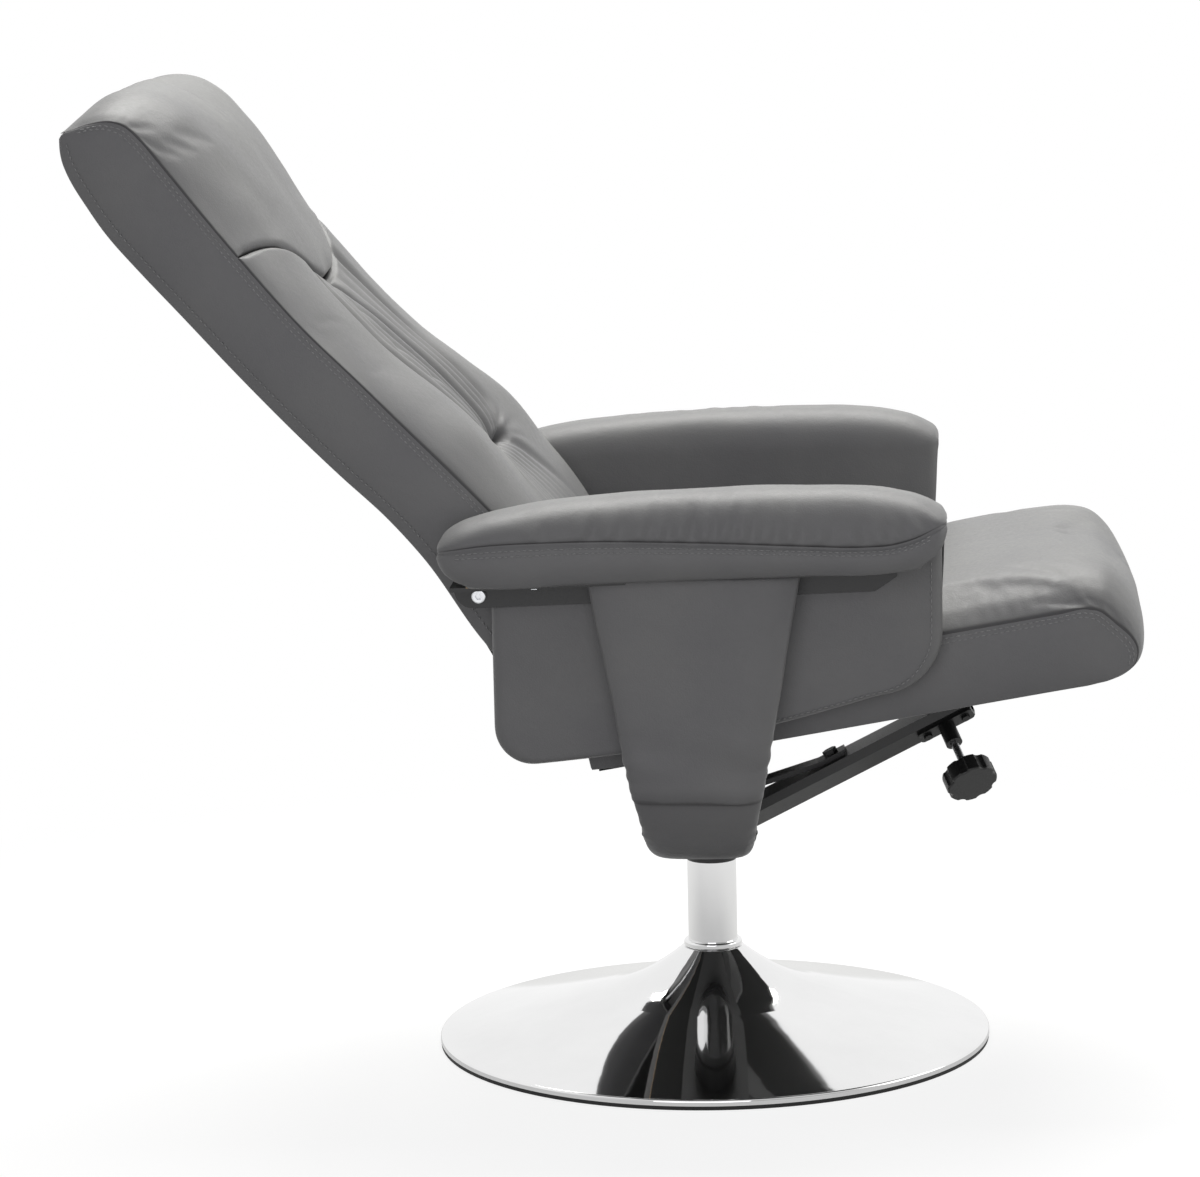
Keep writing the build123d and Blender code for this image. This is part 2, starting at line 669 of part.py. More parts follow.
# Side panels: padded boards between the arms and the seat
panel_inner = RAIL_INNER - PANEL_THICKNESS
with BuildPart() as right_side_panel:
    with BuildSketch(side_of(arm_frame, -panel_inner)):
        with BuildLine():
            rear_edge = Line((-PANEL_REAR, -SOFT), (-PANEL_REAR, -PANEL_REAR_DROP + PANEL_REAR_ROUND))
            rear_low = (-PANEL_REAR + PANEL_REAR_ROUND, -PANEL_REAR_DROP)
            front_low = (PANEL_FRONT - PANEL_FRONT_ROUND, -PANEL_FRONT_DROP)
            TangentArc(rear_edge @ 1, rear_low, tangent=(0, -1))
            bottom = TangentArc(rear_low, front_low, tangent=(1, 0))
            slope = atan2((bottom % 1).Y, (bottom % 1).X)
            front_rise = PANEL_FRONT_ROUND * tan(slope / 2 + pi / 4)
            front_end = (PANEL_FRONT, -PANEL_FRONT_DROP + front_rise)
            TangentArc(front_low, front_end, tangent=bottom % 1)
            Polyline(front_end, (PANEL_FRONT, -SOFT), rear_edge @ 0)
        make_face()
    extrude(amount=PANEL_THICKNESS)
    fillet(right_side_panel.faces().filter_by(Axis.Y).edges(), PANEL_EDGE)
    add(bores(panel_screw_seats, SCREW_RADIUS + SOFT, rail_screw_length + SOFT), mode=Mode.SUBTRACT)
left_side_panel = left_of(right_side_panel)

# Recline pivot: a bolt, spacer and nut on each side
spacer_inner = LUG_OFFSET + LUG_THICKNESS + CLEAR
pivot_end = LUG_OFFSET - CLEAR - PIVOT_NUT
pivot_length = RAIL_INNER + RAIL_WALL - pivot_end
pivot_seats = mirrored_seats([pivot_seat])
with BuildPart() as pivot_bolts:
    for seat in pivot_seats:
        with BuildSketch(seat):
            Circle(PIVOT_HEAD)
        extrude(amount=PIVOT_HEAD_HEIGHT)
        with BuildSketch(seat):
            Circle(PIVOT_RADIUS)
        extrude(amount=-pivot_length)
    head_edges = pivot_bolts.edges().filter_by(
        lambda edge: abs(edge.center().Y) > -rail_face + PIVOT_HEAD_HEIGHT / 2
    )
    fillet(head_edges, PIVOT_HEAD_ROUND)
    for seat in pivot_seats:
        with BuildSketch(seat.offset(PIVOT_HEAD_HEIGHT)):
            RegularPolygon(PIVOT_HEAD / 2, 6)
        extrude(amount=-PIVOT_HEAD / 2, mode=Mode.SUBTRACT)

with BuildPart() as pivot_spacers:
    for seat in pivot_seats:
        with BuildSketch(seat.offset(-RAIL_WALL)):
            Circle(PIVOT_RADIUS + SPACER_WALL)
            Circle(PIVOT_RADIUS + SEATED, mode=Mode.SUBTRACT)
        extrude(amount=spacer_inner - RAIL_INNER)

with BuildPart() as pivot_nuts:
    for seat in pivot_seats:
        with BuildSketch(seat.offset(-pivot_length)):
            RegularPolygon(PIVOT_RADIUS + SPACER_WALL, 6)
            Circle(PIVOT_RADIUS + SEATED, mode=Mode.SUBTRACT)
        extrude(amount=PIVOT_NUT)

# Seat slide: a grooved rail under the seat and the saddle that carries it on the front bar
slide_top = -DUST_THICKNESS
groove_top = slide_top - SLIDE_FOOT
groove_bottom = groove_top - SLIDE_GROOVE
slide_bottom = groove_bottom - SLIDE_BAR
slide_rear = SLIDE_FRONT - SLIDE_LENGTH
slide_screw_seats = [
    Plane(seat_frame.from_local_coords((along, 0, slide_bottom)), seat_frame.x_dir, -seat_frame.z_dir)
    for along in (slide_rear + SLIDE_SCREW_EDGE, SLIDE_FRONT - SLIDE_SCREW_EDGE)
]
slide_screw_length = -slide_bottom + BOARD_THICKNESS - TIP_COVER
slide_screws = flush_screws(slide_screw_seats, slide_screw_length, 0)
slide_screw_room = flush_screws(slide_screw_seats, slide_screw_length, SEATED)
with BuildPart() as seat_slide:
    with BuildSketch(across(seat_frame, slide_rear)):
        with Locations((0, (groove_bottom + slide_bottom) / 2)):
            Rectangle(2 * SLIDE_HALF, SLIDE_BAR)
        with Locations((0, (slide_top + slide_bottom) / 2)):
            Rectangle(2 * SLIDE_NECK, slide_top - slide_bottom)
        with Locations((0, (slide_top + groove_top) / 2)):
            Rectangle(2 * SLIDE_HALF, SLIDE_FOOT)
    extrude(amount=SLIDE_LENGTH)
    add(slide_screw_room.part, mode=Mode.SUBTRACT)

saddle_bore = SLIDE_HALF + SLIDING
saddle_half = saddle_bore + SADDLE_WALL
saddle_floor = slide_bottom - SLIDING
saddle_bottom = saddle_floor - SADDLE_WALL
saddle_rear = SADDLE_CENTRE - SADDLE_LENGTH / 2
bar_top = bar_frame.offset(BAR_DEPTH)
knob_mid = bar_frame.from_local_coords((KNOB_ALONG, 0, 0.7 * BAR_DEPTH))
shoe_along = seat_frame.to_local_coords(knob_mid).X


def shoe_block(grow, drop):
    """Block of the clamp shoe, square to the slide, its top just under the slide."""
    with BuildPart() as block:
        with BuildSketch(seat_frame.offset(slide_bottom - CLEAR + grow)):
            with Locations((shoe_along, 0)):
                Rectangle(SHOE_LENGTH + 2 * grow, 2 * (SHOE_HALF_WIDTH + grow))
        extrude(amount=-SHOE_HEIGHT - grow - drop)
    return block


with BuildPart() as saddle_foot:
    with BuildSketch(seat_frame.offset(saddle_bottom)):
        with Locations((SADDLE_CENTRE - SADDLE_LENGTH / 8, 0)):
            Rectangle(SADDLE_LENGTH * 3 / 4, 2 * saddle_half)
    extrude(amount=-SHOE_HEIGHT)
    split(bisect_by=bar_top, keep=Keep.TOP)

shoe_room = shoe_block(SHOE_ROOM, SHOE_TRAVEL)
with BuildPart() as slide_saddle:
    with BuildSketch(across(seat_frame, saddle_rear)):
        with Locations((0, (saddle_bottom + groove_top - SLIDING) / 2)):
            Rectangle(2 * saddle_half, groove_top - SLIDING - saddle_bottom)
        with Locations((0, (saddle_floor + groove_bottom + SLIDING) / 2)):
            Rectangle(2 * saddle_bore, groove_bottom + SLIDING - saddle_floor, mode=Mode.SUBTRACT)
        with Locations((0, groove_top - SLIDING)):
            Rectangle(2 * (SLIDE_NECK + SLIDING), 2 * SLIDE_GROOVE, mode=Mode.SUBTRACT)
    extrude(amount=SADDLE_LENGTH)
    add(saddle_foot.part)
    add(shoe_room.part, mode=Mode.SUBTRACT)

# Front bar: a hollow pressed section from the hub up to the saddle
chamfer_mid = BAR_CHAMFER / 2
knob_origin = bar_frame.from_local_coords((KNOB_ALONG, -BAR_HALF_WIDTH + chamfer_mid, chamfer_mid))
knob_out = (Vector(0, -1, 0) - bar_frame.z_dir).normalized()
knob_frame = Plane(knob_origin, bar_frame.x_dir, knob_out)
boss_bolt_reach = BOSS_PLATE_LENGTH / 2 - BOSS_BOLT_EDGE
boss_top = knob_frame.offset(BOSS_PLATE_THICKNESS)
boss_bolt_seats = [
    Plane(boss_top.from_local_coords((along, 0, 0)), knob_frame.x_dir, knob_frame.z_dir)
    for along in (-boss_bolt_reach, boss_bolt_reach)
]
boss_bolt_length = BOSS_PLATE_THICKNESS + BAR_WALL + BOLT_TIP
brace_mid = BRACE_REACH + BRACE_TAB / 2
brace_tab_along = brace_mid / cos(bar_slope) + BAR_DEPTH * tan(bar_slope)
brace_top = bar_frame.offset(BAR_DEPTH + BRACE_THICKNESS)
brace_bolt_seats = [
    Plane(brace_top.from_local_coords((brace_tab_along, 0, 0)), bar_frame.x_dir, bar_frame.z_dir),
    Plane((-STRAP_HALF_LENGTH / 2, 0, strap_top + BRACE_THICKNESS)),
]
brace_bolt_length = BRACE_THICKNESS + STRAP_THICKNESS
with BuildPart() as front_bar:
    with BuildSketch(across(bar_frame, 0)):
        with BuildLine():
            Polyline(
                (-BAR_HALF_WIDTH + BAR_CHAMFER, 0),
                (BAR_HALF_WIDTH - BAR_CHAMFER, 0),
                (BAR_HALF_WIDTH, BAR_CHAMFER),
                (BAR_HALF_WIDTH, BAR_DEPTH),
                (-BAR_HALF_WIDTH, BAR_DEPTH),
                (-BAR_HALF_WIDTH, BAR_CHAMFER),
                close=True,
            )
        make_face()
        offset(amount=-BAR_WALL, kind=Kind.INTERSECTION, mode=Mode.SUBTRACT)
    extrude(amount=BAR_LENGTH)
    split(bisect_by=Plane.YZ.offset(HUB_HALF_LENGTH), keep=Keep.TOP)
    add(shoe_room.part, mode=Mode.SUBTRACT)
    add(bores(boss_bolt_seats, BOSS_BOLT_RADIUS + SEATED, boss_bolt_length), mode=Mode.SUBTRACT)
    add(bores(brace_bolt_seats, BOLT_RADIUS + SEATED, brace_bolt_length), mode=Mode.SUBTRACT)
    add(bores([knob_frame], CLAMP_SCREW_RADIUS + SHOE_ROOM, 2 * BAR_WALL), mode=Mode.SUBTRACT)

bar_top_rise = BAR_ROOT + BAR_DEPTH / cos(bar_slope)
brace_rear = -STRAP_HALF_LENGTH + BRACE_INSET
brace_bend = Vector(-BRACE_INSET, strap_top)
brace_land = Vector(BRACE_REACH, bar_top_rise + BRACE_REACH * tan(bar_slope))
brace_end = brace_land + Vector(BRACE_TAB, BRACE_TAB * tan(bar_slope))
tab_rise = Vector(-sin(bar_slope), cos(bar_slope)) * BRACE_THICKNESS
with BuildPart() as brace_strut:
    with BuildSketch(Plane.XZ):
        with BuildLine():
            Polyline(
                (brace_rear, strap_top),
                brace_bend,
                brace_land,
                brace_end,
                brace_end + tab_rise,
                brace_land + tab_rise,
                brace_bend + Vector(-BRACE_INSET / 2, BRACE_THICKNESS),
                (brace_rear, strap_top + BRACE_THICKNESS),
                close=True,
            )
        make_face()
    extrude(amount=BRACE_HALF_WIDTH, both=True)
    add(bores(brace_bolt_seats, BOLT_RADIUS + SEATED, brace_bolt_length), mode=Mode.SUBTRACT)
brace_bolts = bolt_group(brace_bolt_seats, BOLT_RADIUS, brace_bolt_length, BOLT_HEAD, BOLT_HEAD_HEIGHT)

# Clamp: threaded boss on the bar, knob on its screw, thrust pad and shoe
with BuildPart() as knob_boss:
    with BuildSketch(knob_frame):
        RectangleRounded(BOSS_PLATE_LENGTH, BOSS_PLATE_WIDTH, BOSS_PLATE_WIDTH / 4)
    extrude(amount=BOSS_PLATE_THICKNESS)
    with BuildSketch(knob_frame):
        Circle(BOSS_RADIUS)
    extrude(amount=BOSS_PLATE_THICKNESS + BOSS_LENGTH)
    with BuildSketch(knob_frame):
        Circle(CLAMP_SCREW_RADIUS + CLEAR)
    extrude(amount=BOSS_PLATE_THICKNESS + BOSS_LENGTH, mode=Mode.SUBTRACT)
    add(bores(boss_bolt_seats, BOSS_BOLT_RADIUS + SEATED, boss_bolt_length), mode=Mode.SUBTRACT)
boss_bolts = bolt_group(
    boss_bolt_seats,
    BOSS_BOLT_RADIUS,
    boss_bolt_length,
    BOSS_BOLT_HEAD,
    BOSS_BOLT_HEAD_HEIGHT,
)

screw_inner = PAD_THICKNESS - PAD_DEPTH + RUNNING
screw_outer = KNOB_STANDOFF + KNOB_BORE
with BuildPart() as clamp_screw:
    with BuildSketch(knob_frame.offset(screw_inner)):
        Circle(CLAMP_SCREW_RADIUS)
    extrude(amount=screw_outer - screw_inner)

with BuildPart() as knob:
    with BuildSketch(knob_frame.offset(KNOB_STANDOFF)):
        Circle(KNOB_RADIUS)
        with PolarLocations(KNOB_RADIUS + KNOB_LOBE_OUT, KNOB_LOBES):
            Circle(KNOB_LOBE, mode=Mode.SUBTRACT)
    extrude(amount=KNOB_THICKNESS)
    fillet(knob.faces().filter_by(knob_frame).edges(), KNOB_EDGE)
    with BuildSketch(knob_frame.offset(KNOB_STANDOFF)):
        Circle(CLAMP_SCREW_RADIUS + SEATED)
    extrude(amount=screw_outer - KNOB_STANDOFF, mode=Mode.SUBTRACT)
    with BuildSketch(knob_frame.offset(KNOB_STANDOFF + KNOB_THICKNESS)):
        Circle(CAP_RADIUS + SEATED)
    extrude(amount=-CAP_THICKNESS, mode=Mode.SUBTRACT)

with BuildPart() as knob_cap:
    with BuildSketch(knob_frame.offset(KNOB_STANDOFF + KNOB_THICKNESS - CAP_THICKNESS)):
        Circle(CAP_RADIUS)
    extrude(amount=CAP_THICKNESS)

with BuildPart() as thrust_pad:
    with BuildSketch(knob_frame.offset(-PAD_DEPTH)):
        Circle(PAD_RADIUS)
    extrude(amount=PAD_THICKNESS)

shoe_solid = shoe_block(0, 0)
with BuildPart() as clamp_shoe:
    add(shoe_solid.part)
    split(bisect_by=knob_frame.offset(-PAD_DEPTH - CLEAR), keep=Keep.BOTTOM)

# Seat: board, dust cover, rear link brackets, rod, cushion
seat_board_front = SEAT_FLAT_FRONT - SEAT_BOARD_INSET
seat_board_mid = (seat_board_front - SEAT_BOARD_REAR) / 2
seat_board_length = seat_board_front + SEAT_BOARD_REAR
flange_start = -SEAT_BOARD_REAR + SEAT_BOARD_INSET
flange_end = flange_start + BRACKET_LENGTH
flange_mid = (flange_start + flange_end) / 2
bracket_screw_seats = [
    Plane(
        seat_frame.from_local_coords(
            (along, -BRACKET_OFFSET + LUG_FLANGE / 2, BOARD_THICKNESS + BRACKET_THICKNESS)
        ),
        seat_frame.x_dir,
        seat_frame.z_dir,
    )
    for along in (flange_start + BRACKET_SCREW_EDGE, flange_end - BRACKET_SCREW_EDGE)
]
bracket_screw_seats = mirrored_seats(bracket_screw_seats)
bracket_screw_length = BRACKET_THICKNESS + BOARD_THICKNESS - TIP_COVER
bracket_screws = flush_screws(bracket_screw_seats, bracket_screw_length, 0)
bracket_screw_room = flush_screws(bracket_screw_seats, bracket_screw_length, SEATED)

with BuildPart() as seat_board:
    with BuildSketch(seat_frame):
        with Locations((seat_board_mid, 0)):
            Rectangle(seat_board_length, 2 * SEAT_BOARD_HALF)
    extrude(amount=BOARD_THICKNESS)
    add(slide_screw_room.part, mode=Mode.SUBTRACT)
    add(bracket_screw_room.part, mode=Mode.SUBTRACT)

with BuildPart() as seat_dust_cover:
    with BuildSketch(seat_frame):
        with Locations((seat_board_mid, 0)):
            Rectangle(seat_board_length - 2 * OVERRUN, 2 * (SEAT_BOARD_HALF + DUST_OVERLAP))
    extrude(amount=-DUST_THICKNESS)
    add(slide_screw_room.part, mode=Mode.SUBTRACT)


def bracket_shape(grow):
    """Right link bracket: an upright plate to the rod and a flange on the seat board."""
    plate_y = -BRACKET_OFFSET + grow
    with BuildPart() as bracket:
        with BuildSketch(side_of(seat_frame, plate_y)):
            with Locations((rod_on_seat.X, rod_on_seat.Z)):
                Circle(ROD_EYE + grow)
            with Locations((flange_mid, BOARD_THICKNESS + BRACKET_THICKNESS)):
                Rectangle(BRACKET_LENGTH + 2 * grow, 2 * BRACKET_THICKNESS)
            make_hull()
        extrude(amount=BRACKET_THICKNESS + 2 * grow)
        with BuildSketch(seat_frame.offset(BOARD_THICKNESS)):
            with Locations((flange_mid, -BRACKET_OFFSET + LUG_FLANGE / 2)):
                Rectangle(BRACKET_LENGTH + 2 * grow, LUG_FLANGE + 2 * grow)
        extrude(amount=BRACKET_THICKNESS + grow)
    return bracket


right_bracket_form = bracket_shape(0)
right_bracket_room = bracket_shape(SOFT)
with BuildPart() as right_seat_bracket:
    add(right_bracket_form.part)
    with BuildSketch(side_of(seat_frame, -BRACKET_OFFSET)):
        with Locations((rod_on_seat.X, rod_on_seat.Z)):
            Circle(ROD_RADIUS + SEATED)
    extrude(amount=BRACKET_THICKNESS, mode=Mode.SUBTRACT)
    add(bracket_screw_room.part, mode=Mode.SUBTRACT)
left_seat_bracket = left_of(right_seat_bracket)

rod_half = LUG_OFFSET + LUG_THICKNESS + CLEAR + ROD_CLIP
rod_plane = Plane(rod, (1, 0, 0), (0, -1, 0))
with BuildPart() as link_rod:
    with BuildSketch(rod_plane):
        Circle(ROD_RADIUS)
    extrude(amount=rod_half, both=True)

with BuildPart() as rod_clips:
    for side in (-1, 1):
        with BuildSketch(rod_plane.offset(side * rod_half)):
            Circle(ROD_RADIUS + ROD_CLIP)
            Circle(ROD_RADIUS + SEATED, mode=Mode.SUBTRACT)
        extrude(amount=-side * ROD_CLIP)

# Seat cushion: crowned, drawn in along the side seam, rolled at the front
seat_tail = [-SEAT_REAR + SEAT_TAIL * share for share in (0, 0.2, 0.55, 1)]
seat_middle = [SEAT_FLAT_FRONT * share for share in (-0.12, 0.1, 0.32, 0.54, 0.76, 0.94)]
seat_nose = [SEAT_FRONT - SEAT_NOSE * share for share in (1, 0.75, 0.5, 0.28, 0.12, 0.03, 0)]
with BuildPart() as seat_cushion:
    for along in seat_tail + seat_middle + seat_nose:
        nose = opened(SEAT_FRONT - along, SEAT_NOSE)
        tail = opened(along + SEAT_REAR, SEAT_TAIL)
        share = min(nose, (1 + tail) / 2)
        crown = SEAT_CROWN * (0.97 + 0.06 * along / SEAT_FRONT)
        half = SEAT_HALF_WIDTH * (SEAT_END_SHARE + (1 - SEAT_END_SHARE) * share)
        low = SEAT_TIP * (1 - share)
        seam = SEAT_TIP + (SEAT_SEAM - SEAT_TIP) * share
        top = SEAT_TIP + (crown - SEAT_TIP) * share + 2 * OVERRUN
        middle = (low + seam) / 2
        inset = half - SEAT_DRAW
        with BuildSketch(across(seat_frame, along)):
            with BuildLine():
                Line((-inset, low), (inset, low))
                ThreePointArc((inset, low), (half, middle), (inset, seam))
                ThreePointArc((inset, seam), (0, top), (-inset, seam))
                ThreePointArc((-inset, seam), (-half, middle), (-inset, low))
            make_face()
    loft(ruled=True)
    with BuildSketch(seat_frame.offset(-OVERRUN)):
        with Locations((seat_board_mid, 0)):
            Rectangle(seat_board_length + 2 * SOFT, 2 * (SEAT_BOARD_HALF + SOFT))
    extrude(amount=OVERRUN + BOARD_THICKNESS + SOFT, mode=Mode.SUBTRACT)
    add(right_bracket_room.part, mode=Mode.SUBTRACT)
    mirror(right_bracket_room.part, about=Plane.XZ, mode=Mode.SUBTRACT)

# Back: board, pivot lugs with their bushes, cushion, head pillow and padded rear
board_rear = -BACK_BOARD_THICKNESS
flange_low = LUG_TOP - LUG_FLANGE
slot_radius = ROD_RADIUS + SLIDING
slot_reach = LINK_RADIUS - rod_rise / 2
slot_mid = rod_on_back * (slot_reach / LINK_RADIUS)
slot_turn = 90 + RECLINE_SWING / 2 + SEAT_TILT - BACK_LEAN
lug_screw_seats = [
    Plane(
        back_frame.from_local_coords((board_rear - LUG_THICKNESS, -LUG_OFFSET + LUG_FLANGE / 2, along)),
        (0, 1, 0),
        -back_frame.x_dir,
    )
    for along in (flange_low + LUG_SCREW_EDGE, LUG_TOP - LUG_SCREW_EDGE)
]
lug_screw_seats = mirrored_seats(lug_screw_seats)
lug_screw_length = LUG_THICKNESS + BACK_BOARD_THICKNESS - TIP_COVER
lug_screws = flush_screws(lug_screw_seats, lug_screw_length, 0)
lug_screw_room = flush_screws(lug_screw_seats, lug_screw_length, SEATED)

with BuildPart() as back_board:
    with BuildSketch(side_of(back_frame, BACK_BOARD_HALF)):
        with Locations((board_rear / 2, (BACK_BOARD_TOP + BACK_BOARD_BOTTOM) / 2)):
            Rectangle(BACK_BOARD_THICKNESS, BACK_BOARD_TOP - BACK_BOARD_BOTTOM)
    extrude(amount=2 * BACK_BOARD_HALF)
    add(lug_screw_room.part, mode=Mode.SUBTRACT)


def lug_shape(grow):
    """Right back lug: a side plate from the board past the pivot to the link rod, and a flange."""
    with BuildPart() as lug:
        with BuildSketch(side_of(back_frame, -LUG_OFFSET + grow)):
            Circle(LUG_ROUND + grow)
            with Locations((rod_on_back.X, rod_on_back.Z)):
                Circle(LUG_ROUND + grow)
            with Locations((board_rear / 2, LUG_TOP - LUG_ROUND / 2)):
                Circle(LUG_ROUND / 2 + grow)
            with Locations((board_rear - LUG_THICKNESS / 2, (LUG_TOP + flange_low) / 2)):
                Rectangle(LUG_THICKNESS + 2 * grow, LUG_TOP - flange_low + 2 * grow)
            make_hull()
        extrude(amount=LUG_THICKNESS + 2 * grow)
        with BuildSketch(side_of(back_frame, -LUG_OFFSET + LUG_FLANGE + grow)):
            with Locations((board_rear - LUG_THICKNESS / 2, (LUG_TOP + flange_low) / 2)):
                Rectangle(LUG_THICKNESS + 2 * grow, LUG_TOP - flange_low + 2 * grow)
        extrude(amount=LUG_FLANGE + LUG_THICKNESS + 2 * grow)
    return lug


right_lug_form = lug_shape(0)
right_lug_room = lug_shape(SOFT)
with BuildPart() as right_back_lug:
    add(right_lug_form.part)
    with BuildSketch(side_of(back_frame, -LUG_OFFSET)):
        Circle(PIVOT_RADIUS + PIVOT_BUSH_WALL + SEATED)
        with Locations(Location((slot_mid.X, slot_mid.Z, 0), (0, 0, slot_turn))):
            SlotCenterToCenter(rod_rise, 2 * slot_radius)
    extrude(amount=LUG_THICKNESS, mode=Mode.SUBTRACT)
    add(lug_screw_room.part, mode=Mode.SUBTRACT)
left_back_lug = left_of(right_back_lug)

with BuildPart() as pivot_bushes:
    for seat in pivot_seats:
        with BuildSketch(seat.offset(LUG_OFFSET - RAIL_INNER - RAIL_WALL)):
            Circle(PIVOT_RADIUS + PIVOT_BUSH_WALL)
            Circle(PIVOT_RADIUS + RUNNING, mode=Mode.SUBTRACT)
        extrude(amount=LUG_THICKNESS)

pivot_room_radius = PIVOT_RADIUS + SPACER_WALL + 2 * OVERRUN
with BuildPart() as right_back_room:
    add(right_lug_room.part)
    with BuildSketch(side_of(back_frame, -pivot_end + 2 * OVERRUN)):
        Circle(pivot_room_radius)
    extrude(amount=BACK_HALF_WIDTH)

# Each station gives the height above the pivot, the side seam and the bolster crest.
BACK_STATIONS = (
    (BACK_BOTTOM, 0.70 * BACK_SEAM, 40.0),
    (BACK_BOTTOM + 30, BACK_SEAM, 66.0),
    (60.0, BACK_SEAM, 79.0),
    (110.0, BACK_SEAM, 80.0),
    (170.0, BACK_SEAM, 68.0),
    (225.0, BACK_SEAM, 53.0),
    (300.0, BACK_SEAM, 47.0),
    (PILLOW_START - SOFT, BACK_SEAM, 48.0),
)
valley_y = 0.45 * BACK_HALF_WIDTH
crest_y = 0.72 * BACK_HALF_WIDTH
with BuildPart() as back_cushion:
    for height, seam, crest in BACK_STATIONS:
        valley = crest - CHANNEL_DEPTH
        middle = crest - CENTRE_DEPTH
        half = BACK_HALF_WIDTH
        with BuildSketch(back_frame.offset(height)):
            with BuildLine():
                Polyline((seam, -half), (0, -half), (0, half), (seam, half))
                ThreePointArc((seam, half), (crest, crest_y), (valley, valley_y))
                ThreePointArc((valley, valley_y), (middle, 0), (valley, -valley_y))
                ThreePointArc((valley, -valley_y), (crest, -crest_y), (seam, -half))
            make_face()
    loft()
    add(right_back_room.part, mode=Mode.SUBTRACT)
    mirror(right_back_room.part, about=Plane.XZ, mode=Mode.SUBTRACT)

# Each station gives the height above the pivot, the side seam, the crest and the share of width.
PILLOW_STATIONS = (
    (PILLOW_START, BACK_SEAM, 50.0, 1.00),
    (PILLOW_START + 45, BACK_SEAM, 60.0, 1.00),
    (PILLOW_START + 95, BACK_SEAM, 68.0, 1.00),
    (BACK_TOP - 56, 0.96 * BACK_SEAM, 66.0, 0.995),
    (BACK_TOP - 28, 0.78 * BACK_SEAM, 56.0, 0.98),
    (BACK_TOP - 12, 0.45 * BACK_SEAM, 40.0, 0.955),
    (BACK_TOP - 4, 0.20 * BACK_SEAM, 22.0, 0.92),
)
with BuildPart() as head_pillow:
    for height, seam, crest, width in PILLOW_STATIONS:
        half = BACK_HALF_WIDTH * width
        with BuildSketch(back_frame.offset(height)):
            with BuildLine():
                Polyline((seam, -half), (0, -half), (0, half), (seam, half))
                ThreePointArc((seam, half), (crest, 0), (seam, -half))
            make_face()
    loft()

# Each station gives the height above the pivot, the depth behind it and the share of width.
REAR_STATIONS = (
    (BACK_BOTTOM, 34.0, 0.97),
    (BACK_BOTTOM + 20, 36.0, 1.00),
    (-7.0, 31.0, 1.00),
    (60.0, 27.0, 1.00),
    (146.0, 34.0, 1.00),
    (256.0, 45.0, 1.00),
    (360.0, 52.0, 1.00),
    (464.0, 58.0, 1.00),
    (BACK_TOP - 40, 52.0, 0.995),
    (BACK_TOP - 12, 40.0, 0.97),
    (BACK_TOP, 24.0, 0.92),
)
with BuildPart() as back_rear:
    for height, depth, width in REAR_STATIONS:
        half = BACK_HALF_WIDTH * width
        edge = REAR_DRAW - depth
        with BuildSketch(back_frame.offset(height)):
            with BuildLine():
                Polyline((edge, half), (0, half), (0, -half), (edge, -half))
                ThreePointArc((edge, -half), (-depth - REAR_CROWN, 0), (edge, half))
            make_face()
    loft()
    with BuildSketch(side_of(back_frame, BACK_BOARD_HALF + SOFT)):
        with Locations((board_rear / 2, (BACK_BOARD_TOP + BACK_BOARD_BOTTOM) / 2)):
            Rectangle(BACK_BOARD_THICKNESS + 2 * SOFT, BACK_BOARD_TOP - BACK_BOARD_BOTTOM + 2 * SOFT)
    extrude(amount=2 * (BACK_BOARD_HALF + SOFT), mode=Mode.SUBTRACT)
    add(right_back_room.part, mode=Mode.SUBTRACT)
    mirror(right_back_room.part, about=Plane.XZ, mode=Mode.SUBTRACT)

PIECES = {
    "base_dish": base_dish,
    "rim_ring": rim_ring,
    "floor_plate": floor_plate,
    "column_foot": column_foot,
    "foot_bolts": foot_bolts,
    "column_tube": column_tube,
    "neck_collar": neck_collar,
    "column_bushes": column_bushes,
    "thrust_ring": thrust_ring,
    "spindle": spindle,
    "spindle_nut": spindle_nut,
    "hub": hub,
    "yoke_strap": yoke_strap,
    "hub_bolts": hub_bolts,
    "right_leg_core": right_leg_core,
    "left_leg_core": left_leg_core,
    "strap_bolts": strap_bolts,
    "right_leg_cover": right_leg_cover,
    "left_leg_cover": left_leg_cover,
    "right_arm_rail": right_arm_rail,
    "left_arm_rail": left_arm_rail,
    "rail_screws": rail_screws,
    "right_arm_board": right_arm_board,
    "left_arm_board": left_arm_board,
    "right_arm_pad": right_arm_pad,
    "left_arm_pad": left_arm_pad,
    "right_side_panel": right_side_panel,
    "left_side_panel": left_side_panel,
    "pivot_bolts": pivot_bolts,
    "pivot_spacers": pivot_spacers,
    "pivot_nuts": pivot_nuts,
    "front_bar": front_bar,
    "brace_strut": brace_strut,
    "brace_bolts": brace_bolts,
    "slide_saddle": slide_saddle,
    "knob_boss": knob_boss,
    "boss_bolts": boss_bolts,
    "clamp_screw": clamp_screw,
    "knob": knob,
    "knob_cap": knob_cap,
    "thrust_pad": thrust_pad,
    "clamp_shoe": clamp_shoe,
    "seat_board": seat_board,
    "seat_dust_cover": seat_dust_cover,
    "seat_slide": seat_slide,
    "slide_screws": slide_screws,
    "right_seat_bracket": right_seat_bracket,
    "left_seat_bracket": left_seat_bracket,
    "bracket_screws": bracket_screws,
    "link_rod": link_rod,
    "rod_clips": rod_clips,
    "seat_cushion": seat_cushion,
    "back_board": back_board,
    "right_back_lug": right_back_lug,
    "left_back_lug": left_back_lug,
    "lug_screws": lug_screws,
    "pivot_bushes": pivot_bushes,
    "back_cushion": back_cushion,
    "head_pillow": head_pillow,
    "back_rear": back_rear,
}
